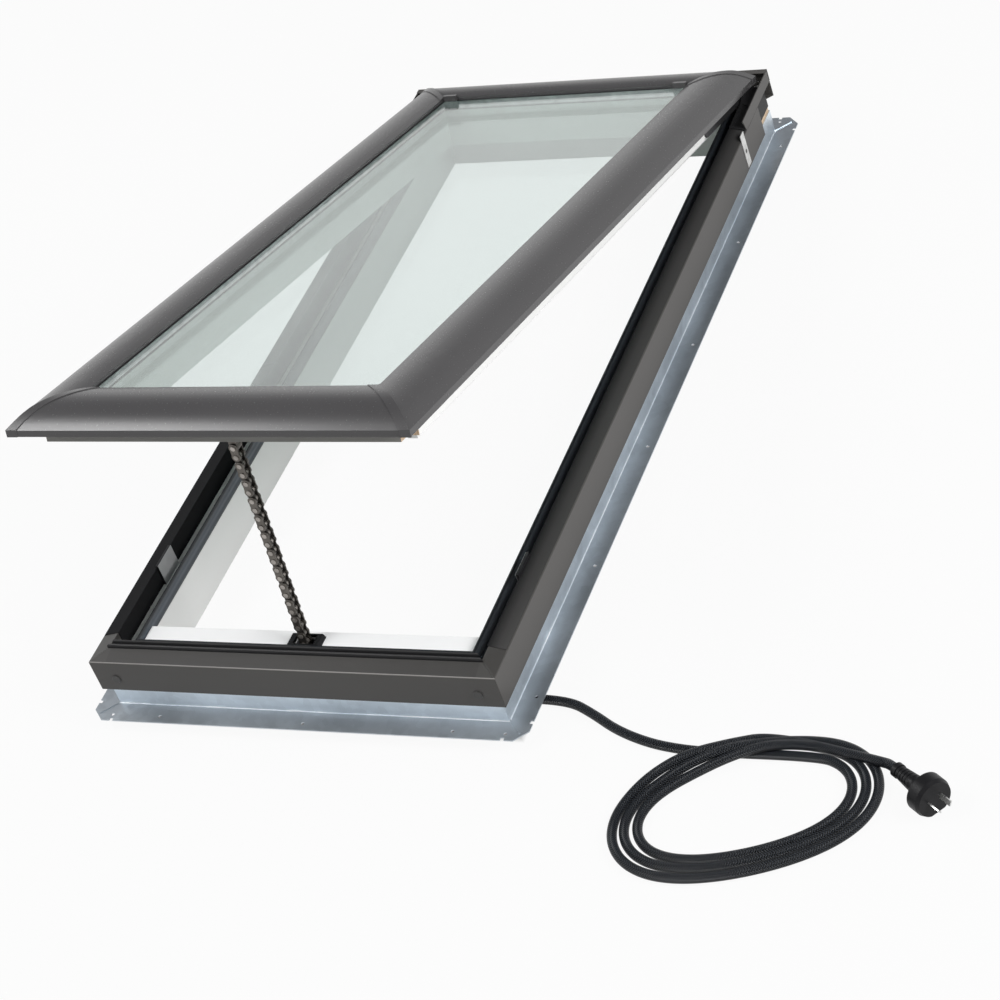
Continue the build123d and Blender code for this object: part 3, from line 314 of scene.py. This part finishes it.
def painted_wood(name, colour, turn, bare=(), painted_shade_face=()):
    """White paint over straight grain: faint broad drift in tone, and long streaks in bump along the rail. Bare
    places show pale timber with darker growth lines, and the painted-shade places are a warm grey, as a face in
    shade."""
    mat, tree, out = node_tree(name)
    grain = noise(tree, place(tree, (90.0, 3.0, 90.0), turn), 1.0, 4.0)
    broad = noise(tree, place(tree), 5.0, 2.0)
    skin = add(tree, "ShaderNodeBsdfPrincipled", Roughness=0.42)
    coat = drift(tree, broad, colour, 0.98, 1.0)
    if painted_shade_face:
        strip = ramp(tree, broad, [(0.3, (0.27, 0.265, 0.25)), (0.7, (0.33, 0.325, 0.305))])
        coat = patched(tree, coat, strip, painted_shade_face)
    if bare:
        rings = noise(tree, place(tree, (700.0, 60.0, 260.0), turn), 1.0, 2.0)
        timber = ramp(tree, rings, [(0.35, (0.46, 0.31, 0.19)), (0.65, (0.70, 0.54, 0.38))])
        coat = patched(tree, coat, timber, bare)
    tree.links.new(coat, skin.inputs["Base Color"])
    tree.links.new(bump(tree, grain, 0.05, 0.0006), skin.inputs["Normal"])
    tree.links.new(skin.outputs["BSDF"], out.inputs["Surface"])
    return mat


def galvanised(name, colour, places):
    """Hot-dip zinc: soft crystals and clouds that change tone and gloss, on a bluish metal. Each of the places,
    a factor and its edges, has its own tone, which paints light: a painted reflection and a painted highlight."""
    mat, tree, out = node_tree(name)
    at = place(tree)
    cells = add(tree, "ShaderNodeTexVoronoi", Scale=120.0)
    tree.links.new(at, cells.inputs["Vector"])
    grey = tree.nodes.new("ShaderNodeRGBToBW")
    tree.links.new(cells.outputs["Color"], grey.inputs["Color"])
    cloud = noise(tree, at, 9.0, 3.0)
    both = tree.nodes.new("ShaderNodeMath")
    both.operation = "MULTIPLY_ADD"
    both.inputs[1].default_value = 0.35
    tree.links.new(grey.outputs["Val"], both.inputs[0])
    tree.links.new(span(tree, cloud, 0.0, 0.65, 0.3, 0.7), both.inputs[2])
    mottle = both.outputs["Value"]
    skin = add(tree, "ShaderNodeBsdfPrincipled", Metallic=0.85)
    sheet = drift(tree, mottle, colour, 0.86, 1.12, 0.1, 0.9)
    for by, planes in places:
        tone = drift(tree, mottle, colour, 0.86 * by, 1.12 * by, 0.1, 0.9)
        sheet = patched(tree, sheet, tone, [planes])
    tree.links.new(sheet, skin.inputs["Base Color"])
    tree.links.new(span(tree, mottle, 0.30, 0.42), skin.inputs["Roughness"])
    tree.links.new(bump(tree, cloud, 0.05, 0.0015), skin.inputs["Normal"])
    tree.links.new(skin.outputs["BSDF"], out.inputs["Surface"])
    return mat


def worn_steel(name, colour, rough, metallic=0.9):
    """Plated steel: cloudy tone, small scuffs in roughness."""
    mat, tree, out = node_tree(name)
    at = place(tree)
    cloud = noise(tree, at, 90.0, 4.0)
    skin = add(tree, "ShaderNodeBsdfPrincipled", Metallic=metallic)
    tree.links.new(drift(tree, cloud, colour, 0.75, 1.12), skin.inputs["Base Color"])
    scuffs = span(tree, noise(tree, at, 240.0), rough - 0.08, rough + 0.12, 0.3, 0.7)
    tree.links.new(scuffs, skin.inputs["Roughness"])
    tree.links.new(bump(tree, cloud, 0.05, 0.0003), skin.inputs["Normal"])
    tree.links.new(skin.outputs["BSDF"], out.inputs["Surface"])
    return mat


def moulded(name, colour, rough, shine=0.35, tones=(0.85, 1.1), depth=0.10):
    """Moulded plastic or rubber: fine even grain."""
    mat, tree, out = node_tree(name)
    at = place(tree)
    fine = noise(tree, at, 900.0, 2.0)
    skin = add(tree, "ShaderNodeBsdfPrincipled", Specular_IOR_Level=shine)
    tree.links.new(drift(tree, noise(tree, at, 25.0), colour, *tones), skin.inputs["Base Color"])
    tree.links.new(span(tree, fine, rough - 0.06, rough + 0.06, 0.3, 0.7), skin.inputs["Roughness"])
    tree.links.new(bump(tree, fine, depth, 0.0003), skin.inputs["Normal"])
    tree.links.new(skin.outputs["BSDF"], out.inputs["Surface"])
    return mat


def float_glass(name, tint, passed):
    """Clear pane with a green-grey tint; lamps pass through it, a little weaker."""
    mat, tree, out = node_tree(name)
    pane = add(tree, "ShaderNodeBsdfPrincipled", Base_Color=(*tint, 1.0), Roughness=0.0, IOR=1.45,
               Transmission_Weight=1.0)
    clear = add(tree, "ShaderNodeBsdfTransparent", Color=(*passed, 1.0))
    path = tree.nodes.new("ShaderNodeLightPath")
    glass = either(tree, path.outputs["Is Shadow Ray"], pane.outputs["BSDF"], clear.outputs["BSDF"])
    tree.links.new(glass, out.inputs["Surface"])
    return mat


def ribbed_rubber(name, colour, low, high):
    """Extruded seal: a painted highlight along its middle and painted shade at its top and bottom edges, by
    height between two levels, with three fine ribs.
    """
    mat, tree, out = node_tree(name)
    height = span(tree, component(tree, place(tree), "Z"), 0.0, 1.0, low, high)
    skin = add(tree, "ShaderNodeBsdfPrincipled", Roughness=0.40, Specular_IOR_Level=0.5)
    # Painted light and shade by height: lighter in the middle, darker toward the top and bottom edges.
    painted_light_by_height = [(0.0, 0.35), (0.22, 0.8), (0.5, 1.3), (0.78, 0.7), (0.93, 0.15)]
    tones = [(at, shade(colour, by)) for at, by in painted_light_by_height]
    tree.links.new(ramp(tree, height, tones), skin.inputs["Base Color"])
    rib = tree.nodes.new("ShaderNodeMath")
    rib.operation = "PINGPONG"
    rib.inputs[1].default_value = 1.0 / 6.0
    tree.links.new(height, rib.inputs[0])
    tree.links.new(bump(tree, rib.outputs["Value"], 0.5, 0.004), skin.inputs["Normal"])
    tree.links.new(skin.outputs["BSDF"], out.inputs["Surface"])
    return mat


def side_strip(name, stops):
    """Thin strip over the rail's slope: on the right, painted light, a tone by the way across that runs from
    dark at the rebate to lighter outward; all dark on the left."""
    mat, tree, out = node_tree(name)
    at = place(tree)
    across = span(tree, component(tree, at, "X"), 0.0, 1.0, *STRIP_X)
    skin = add(tree, "ShaderNodeBsdfPrincipled", Roughness=0.80, Specular_IOR_Level=0.05)
    tree.links.new(ramp(tree, across, stops), skin.inputs["Base Color"])
    tree.links.new(bump(tree, noise(tree, at, 500.0, 2.0), 0.03, 0.0003), skin.inputs["Normal"])
    tree.links.new(skin.outputs["BSDF"], out.inputs["Surface"])
    return mat


def faced_plastic(name, body, face, where):
    """Moulded plate with its own colour on its face and a darker body colour, which is painted shade,
    everywhere else.
    """
    mat, tree, out = node_tree(name)
    cloud = noise(tree, place(tree), 40.0)
    tones = [drift(tree, cloud, colour, 0.9, 1.08) for colour in (body, face)]
    skin = add(tree, "ShaderNodeBsdfPrincipled", Roughness=0.42, Specular_IOR_Level=0.35)
    tree.links.new(patched(tree, tones[0], tones[1], where), skin.inputs["Base Color"])
    tree.links.new(skin.outputs["BSDF"], out.inputs["Surface"])
    return mat


def braided_sleeve(name, dark, light):
    """Braided cord sleeve on the tube's UV, in metres along and turns around: chevrons, the sine of the way
    along plus a zigzag around, in tone and height."""
    mat, tree, out = node_tree(name)
    at = place(tree, source="UV")

    def math_node(operation, value, *constants):
        node = tree.nodes.new("ShaderNodeMath")
        node.operation = operation
        tree.links.new(value, node.inputs[0])
        for socket, constant in zip(node.inputs[1:], constants):
            socket.default_value = constant
        return node.outputs["Value"]

    around = math_node("MULTIPLY", component(tree, at, "Y"), BRAID_AROUND)
    zigzag = math_node("MULTIPLY", math_node("PINGPONG", around, 0.5), 2.0)
    phase = joined(tree, "ADD", [math_node("MULTIPLY", component(tree, at, "X"), BRAID_ALONG), zigzag])
    strand = math_node("SINE", math_node("MULTIPLY", phase, 2 * math.pi))
    skin = add(tree, "ShaderNodeBsdfPrincipled", Roughness=0.30, Specular_IOR_Level=0.22)
    tree.links.new(ramp(tree, span(tree, strand, 0.0, 1.0, -1.0, 1.0), [(0.30, dark), (0.92, light)]),
                   skin.inputs["Base Color"])
    tree.links.new(bump(tree, strand, 0.8, 0.0008), skin.inputs["Normal"])
    tree.links.new(skin.outputs["BSDF"], out.inputs["Surface"])
    return mat


def dress(mat, *names):
    """Gives CAD nodes a finish."""
    for name in names:
        slots = NODES[name].material_slots
        if slots:
            slots[0].material = mat
        else:
            NODES[name].data.materials.append(mat)


def fold_edges(width, *names):
    """Rounds the folds of sheet pieces: loose triangles are welded, then sharp edges get a narrow bevel."""
    for name in names:
        weld = NODES[name].modifiers.new("Weld", "WELD")
        weld.merge_threshold = WELD_GAP
        bevel = NODES[name].modifiers.new("Fold", "BEVEL")
        bevel.width = width
        bevel.segments = 2
        bevel.limit_method = "ANGLE"
        bevel.angle_limit = math.radians(FOLD_ANGLE_DEG)
        bevel.harden_normals = True


def mesh_piece(name, points, faces, mat, smooth=True):
    """Mesh object at the origin from arrays of points and faces."""
    mesh = bpy.data.meshes.new(name)
    mesh.from_pydata(points.reshape(-1, 3).tolist(), [], faces.tolist())
    mesh.polygons.foreach_set("use_smooth", np.full(len(faces), smooth))
    mesh.materials.append(mat)
    mesh.update()
    obj = bpy.data.objects.new(name, mesh)
    bpy.context.collection.objects.link(obj)
    return obj


def grid_faces(rows, columns, wrap=False):
    """Quads of a grid of rows by columns, closed around the columns if wrapped."""
    i = np.arange(rows - 1)[:, None]
    j = np.arange(columns if wrap else columns - 1)[None, :]
    k = (j + 1) % columns
    here, after = i * columns, (i + 1) * columns
    return np.stack(np.broadcast_arrays(here + j, here + k, after + k, after + j), -1).reshape(-1, 4)


def coil_points():
    """The coil's turns: full ellipses x = a cos p, y = b sin p (1 + f cos^2 p), each in its own lane. A smooth
    step takes the cord out to the next lane across the far side, where each later turn humps over the incoming
    lead."""
    t = np.linspace(0.0, COIL_TURNS, int(COIL_TURNS * COIL_POINTS_PER_TURN) + 1)[1:]
    angle = np.radians(COIL_START_DEG - 360.0 * t)
    step = np.zeros_like(t)
    for number in range(len(COIL_LANES) - 1):
        share = np.clip((t - number - LANE_CHANGE[0]) / (LANE_CHANGE[1] - LANE_CHANGE[0]), 0.0, 1.0)
        step += share * share * (3.0 - 2.0 * share)
    lanes = np.array(COIL_LANES)
    long_r, short_r, shift = (np.interp(step, np.arange(len(lanes)), lanes[:, k]) for k in range(3))
    lift = np.zeros_like(t)
    for number, middle in enumerate(COIL_HUMPS_DEG):
        at = number + 1 - (middle - COIL_START_DEG) / 360.0
        lift += np.exp(-((t - at) * 360.0 / COIL_HUMP_SPAN_DEG) ** 2)
    x = long_r * np.cos(angle)
    y = shift + short_r * np.sin(angle) * (1.0 + COIL_FULLNESS * np.cos(angle) ** 2)
    z = CORD_D / 2 + COIL_HUMP * np.minimum(lift, 1.0)
    turn = math.radians(COIL_TURN_DEG)
    return np.stack([COIL_CENTRE[0] + x * math.cos(turn) - y * math.sin(turn),
                     COIL_CENTRE[1] + x * math.sin(turn) + y * math.cos(turn), z], -1)


def smooth_line(points, name):
    """Points along a clamped quadratic NURBS spline with the given control points."""
    curve = bpy.data.curves.new(name, "CURVE")
    curve.dimensions = "3D"
    curve.resolution_u = 10
    spline = curve.splines.new("NURBS")
    spline.points.add(len(points) - 1)
    spline.points.foreach_set("co", np.c_[points, np.ones(len(points))].astype(np.float32).ravel())
    spline.order_u = 3
    spline.use_endpoint_u = True
    holder = bpy.data.objects.new(name, curve)
    bpy.context.collection.objects.link(holder)
    bpy.context.view_layer.update()
    mesh = bpy.data.meshes.new_from_object(holder.evaluated_get(bpy.context.evaluated_depsgraph_get()))
    line = np.empty(3 * len(mesh.vertices))
    mesh.vertices.foreach_get("co", line)
    bpy.data.objects.remove(holder)
    bpy.data.meshes.remove(mesh)
    return line.reshape(-1, 3)


def tube(name, line, radius, mat, sides=20):
    """Round tube about a line: rings square to it, kept level, with UV in metres along and turns around."""
    ahead = np.gradient(line, axis=0)
    ahead /= np.linalg.norm(ahead, axis=1, keepdims=True)
    side = np.cross(ahead, (0.0, 0.0, 1.0))
    side /= np.linalg.norm(side, axis=1, keepdims=True)
    up = np.cross(side, ahead)
    turn = np.linspace(0.0, 2 * math.pi, sides, endpoint=False)
    ring = np.cos(turn)[None, :, None] * side[:, None] + np.sin(turn)[None, :, None] * up[:, None]
    points = line[:, None] + radius * ring
    faces = grid_faces(len(line), sides, wrap=True)
    obj = mesh_piece(name, points, faces, mat)
    length = np.r_[0.0, np.cumsum(np.linalg.norm(np.diff(line, axis=0), axis=1))]
    layer = obj.data.uv_layers.new(name="UVMap")
    row, column = faces // sides, faces % sides
    around = column + sides * ((column == 0) & (np.roll(column, 1, axis=1) == sides - 1))
    around[:, 1:3] = np.where(column[:, 1:3] == 0, sides, column[:, 1:3])
    layer.data.foreach_set("uv", np.stack([length[row], around / sides], -1).astype(np.float32).ravel())
    return obj, float(length[-1])


def mains_lead():
    """One cord from the gland through the coil to the plug."""
    points = np.vstack([CORD_ROUTE, coil_points(), TAIL])
    line = smooth_line(points, "mains_lead_line")
    sleeve = braided_sleeve("Braided_sleeve", (0.0015, 0.0015, 0.002), (0.028, 0.033, 0.041))
    lead, length = tube("mains_lead", line, CORD_D / 2, sleeve)
    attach(lead, "frame")
    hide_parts("cord_lead", "cord_coil", "cord_tail")
    print("cord length", length)


def sash_lining(mat):
    """Boards under the sash's side and head rails, flush with their inner faces: a U in plan, (x, y) on an
    inner and an outer line, carried through the depth and turned about the hinge with the open sash."""
    x, foot, head = LINING_X, LINING_FOOT_Y, LINING_HEAD_Y
    inner = np.array([[-x, foot], [-x, head], [x, head], [x, foot]])
    outer = np.array([[x + LINING_T, foot], [x + LINING_T, head + LINING_T], [-x - LINING_T, head + LINING_T],
                      [-x - LINING_T, foot]])
    plan = np.vstack([inner, outer])
    count = len(plan)
    levels = np.array([LINING_TOP_Z, LINING_TOP_Z - LINING_DEPTH])
    y, z = np.broadcast_arrays(plan[None, :, 1] - HINGE_Y, levels[:, None] - HINGE_Z)
    turn = math.radians(OPEN_DEG)
    points = np.stack([np.broadcast_to(plan[None, :, 0], y.shape),
                       HINGE_Y + y * math.cos(turn) + z * math.sin(turn),
                       HINGE_Z - y * math.sin(turn) + z * math.cos(turn)], -1)
    boards = np.array([[0, 1, 6, 7], [1, 2, 5, 6], [2, 3, 4, 5]])
    faces = np.vstack([grid_faces(2, count, wrap=True)[:, ::-1], boards[:, ::-1], boards + count])
    lining = mesh_piece("sash_lining", points, faces, mat, smooth=False)
    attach(lining, "sash")


def folding_chain():
    """Gives each piece of the chain a mesh of its own."""
    for name in ("chain_outer_plates", "chain_inner_plates", "chain_rivets", "chain_end_eye"):
        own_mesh(NODES[name])


def finishes():
    """Every CAD node's material."""
    white = (0.80, 0.80, 0.79)
    straight, turned = (0.0, 0.0, 0.0), (0.0, 0.0, math.pi / 2)
    sash_down = (0.0, -math.cos(math.radians(OPEN_DEG)), math.sin(math.radians(OPEN_DEG)))
    cross_paint = painted_wood("White_paint_across", white, turned)
    dress(cross_paint, "frame_foot_rail", "frame_head_rail", "sash_head_rail")
    bare = [[(way, FRAME_BARE_X), (UP_SLOPE, FRAME_BARE_Y)] for way in (RIGHT, LEFT)]
    dress(painted_wood("Frame_side_paint", white, straight, bare), "frame_left_rail", "frame_right_rail")
    sash_paint = painted_wood("Sash_side_paint", white, straight, [[(sash_down, SASH_SIDE_END)]])
    dress(sash_paint, "sash_left_rail", "sash_right_rail")
    sash_lining(sash_paint)
    ends = [[(way, SASH_FOOT_END)] for way in (RIGHT, LEFT)]
    # The foot rail's face under the lip is painted a warm grey, as shade.
    foot_paint = painted_wood("Sash_foot_paint", white, turned, ends, [[(sash_down, SASH_FOOT_FACE)]])
    dress(foot_paint, "sash_foot_rail")
    # Painted reflection: the flange's leg is lighter, as if it mirrored the white floor; painted highlight: a
    # brighter line along its fold.
    leg_reflection = [(RIGHT, -LEG_X), (LEFT, -LEG_X), (UP_SLOPE, -LEG_Y), (DOWN_SLOPE, -LEG_Y)]
    fold_highlight = [(way, edge - FOLD_W) for way, edge in leg_reflection] + [(DOWN, -FOLD_Z)]
    zinc = galvanised("Galvanised_sheet", (0.48, 0.525, 0.565), [(1.42, leg_reflection), (1.85, fold_highlight)])
    dress(zinc, "deck_flange_foot", "deck_flange_left", "deck_flange_right", "deck_flange_head")
    # Painted shade darkens the top-facing slope of the foot cladding and the side slopes near the foot; a
    # painted highlight lightens the shoulder's fold.
    slope_shade = [(DOWN_SLOPE, SLOPE_Y), (UP, SHOULDER_Z)]
    shoulder_highlight = [(DOWN_SLOPE, SHOULDER_Y), (UP, SHOULDER_Z - SHOULDER_BAND)]
    side_slope_shade = [[(way, STRIP_X[0]), (UP, SHOULDER_Z), (DOWN_SLOPE, STRIP_END_Y)] for way in (RIGHT, LEFT)]
    tones = [(0.55, slope_shade), (0.66, side_slope_shade[0]), (0.66, side_slope_shade[1]), (3.0, shoulder_highlight)]
    dress(coated_sheet("Frame_coating", (0.070, 0.067, 0.064), 0.40, 0.3, tones), *FRAME_SHEETS)
    dress(coated_sheet("Cap_coating", (0.036, 0.035, 0.034), 0.45), "screw_caps")
    sash_sheet = coated_sheet("Sash_coating", (0.053, 0.0515, 0.053), 0.27)
    dress(sash_sheet, "sash_cover_foot", "sash_cover_left", "sash_cover_right", "sash_cover_head",
          "corner_caps", "end_caps")
    black = moulded("Black_plastic", (0.007, 0.007, 0.008), 0.42, 0.2)
    dress(black, "corner_blocks", "operator_ends", "gearbox", "power_supply", "chain_guide", "cable_gland",
          "plug_body")
    dress(moulded("Black_rubber", (0.011, 0.011, 0.012), 0.55), "bottom_seal", "glass_bed", "glazing_gasket")
    # Painted light and shade: the right strip is dark at the rebate and lighter outward, where light falls on
    # it; the left stays dark.
    stops = [(0.05, (0.014, 0.014, 0.015)), (0.15, (0.020, 0.020, 0.020)), (0.5, (0.042, 0.041, 0.041)),
             (1.0, (0.056, 0.055, 0.054))]
    dress(side_strip("Dark_strip", stops), "side_strips")
    dress(ribbed_rubber("Blue_grey_rubber", (0.052, 0.062, 0.076), *GASKET_Z), "frame_gasket")
    # The guides' inner faces carry the plastic's grey; the rest of each plate is painted dark as shade.
    dress(faced_plastic("Guide_plastic", (0.012, 0.012, 0.013), (0.36, 0.36, 0.365),
                        [[(RIGHT, -GUIDE_FACE_X), (LEFT, -GUIDE_FACE_X)]]), "sash_guides")
    cover = moulded("White_plastic", (0.80, 0.80, 0.805), 0.34, tones=(0.985, 1.0), depth=0.01)
    dress(cover, "operator_cover")
    dress(moulded("Printed_board", (0.03, 0.16, 0.07), 0.45), "control_board")
    # Same steel throughout: the rivets are painted lighter as a highlight, and the inner plates darker as shade
    # between the outer plates.
    chain = worn_steel("Chain_steel", (0.135, 0.124, 0.112), 0.34)
    dress(chain, "chain_outer_plates", "chain_end_eye", "drive_sprocket")
    dress(worn_steel("Rivet_steel_painted_highlight", (0.36, 0.335, 0.31), 0.30), "chain_rivets")
    dress(worn_steel("Chain_steel_painted_shade", (0.065, 0.060, 0.054), 0.40), "chain_inner_plates")
    dress(worn_steel("Black_steel", (0.020, 0.020, 0.021), 0.42, 0.2), "frame_hinges", "sash_hinge_plates")
    bright = worn_steel("Plated_steel", (0.70, 0.70, 0.69), 0.32)
    dress(bright, "hinge_pins", "chain_bracket", "chain_bracket_pin", "side_straps", "motor", "plug_pins")
    dress(worn_steel("Mill_aluminium", (0.72, 0.73, 0.74), 0.38), "operator_housing", "spacer_bar")
    dress(float_glass("Float_glass", (0.848, 0.892, 0.882), (0.48, 0.545, 0.515)), "outer_pane", "inner_pane")


def camera():
    """Camera at the photo's viewpoint."""
    data = bpy.data.cameras.new("Camera")
    data.lens = LENS_MM
    data.sensor_width = SENSOR_MM
    data.sensor_fit = "HORIZONTAL"
    data.clip_end = 60.0
    obj = bpy.data.objects.new("Camera", data)
    bpy.context.collection.objects.link(obj)
    turn = Matrix((CAMERA_RIGHT, -Vector(CAMERA_DOWN), -Vector(CAMERA_AHEAD))).transposed()
    obj.matrix_world = Matrix.Translation(CAMERA_AT) @ turn.to_4x4()
    bpy.context.scene.camera = obj


def soft_lamp(name, at, towards, size, power):
    """Rectangular area lamp, width and height, aimed at a point."""
    data = bpy.data.lights.new(name, "AREA")
    data.shape = "RECTANGLE"
    data.size, data.size_y = size
    data.energy = power
    obj = bpy.data.objects.new(name, data)
    obj.location = at
    obj.rotation_euler = (Vector(towards) - Vector(at)).to_track_quat("-Z", "Y").to_euler()
    obj.visible_transmission = False
    bpy.context.collection.objects.link(obj)


def white_seen(tree):
    """1 for camera, mirror and see-through rays, which then find a white background, and 0 once light has
    scattered."""
    path = tree.nodes.new("ShaderNodeLightPath")
    kinds = [path.outputs[name] for name in ("Is Camera Ray", "Is Glossy Ray", "Is Transmission Ray")]
    unscattered = span(tree, path.outputs["Diffuse Depth"], 1.0, 0.0)
    return joined(tree, "MULTIPLY", [joined(tree, "MAXIMUM", kinds), unscattered])


def studio():
    """Pale floor that keeps the shadow, with a painted shadow under the flange, white surround that greys
    overhead, soft lamps.
    """
    mat, tree, out = node_tree("Floor")
    paper = tree.nodes.new("ShaderNodeBsdfDiffuse")
    glow = add(tree, "ShaderNodeEmission", Color=(1.0, 1.0, 1.0, 1.0), Strength=1.0)
    sides = (RIGHT, LEFT, UP_SLOPE, DOWN_SLOPE)
    # Painted shadow: in the ring between the outer and inner edges the floor's paper is dark and shows little
    # white.
    within = [joined(tree, "MINIMUM", [beyond(tree, way, -edge, SHADE_SOFT) for way, edge in zip(sides, edges)])
              for edges in (SHADE_OUTSIDE, SHADE_INSIDE)]
    under = joined(tree, "SUBTRACT", within)
    tree.links.new(ramp(tree, under, list(zip((0.0, 1.0), FLOOR_TONES))), paper.inputs["Color"])
    seen = joined(tree, "MULTIPLY", [white_seen(tree), span(tree, under, *FLOOR_SEEN)])
    tree.links.new(either(tree, seen, paper.outputs["BSDF"], glow.outputs["Emission"]), out.inputs["Surface"])
    signs = ((-1, -1), (1, -1), (1, 1), (-1, 1))
    corners = np.array([[x * FLOOR_HALF, y * FLOOR_HALF, FLOOR_Z] for x, y in signs])
    mesh_piece("Floor", corners, np.array([[0, 1, 2, 3]]), mat, smooth=False)
    world = bpy.data.worlds.new("World")
    bpy.context.scene.world = world
    world.use_nodes = True
    sky = world.node_tree
    sky.nodes.clear()
    shown = add(sky, "ShaderNodeBackground", Strength=1.0)
    height = component(sky, place(sky, source="Generated"), "Z")
    sky.links.new(ramp(sky, height, SKY_STOPS), shown.inputs["Color"])
    lit = add(sky, "ShaderNodeBackground", Color=(1.0, 1.0, 1.0, 1.0), Strength=SKY_LIGHT)
    end = sky.nodes.new("ShaderNodeOutputWorld")
    surround = either(sky, white_seen(sky), lit.outputs["Background"], shown.outputs["Background"])
    sky.links.new(surround, end.inputs["Surface"])
    for lamp in LAMPS:
        soft_lamp(*lamp)


bpy.context.scene.view_settings.view_transform = "Standard"
camera()
mains_lead()
finishes()
folding_chain()
studio()
fold_edges(FOLD_BEVEL, *FRAME_SHEETS)
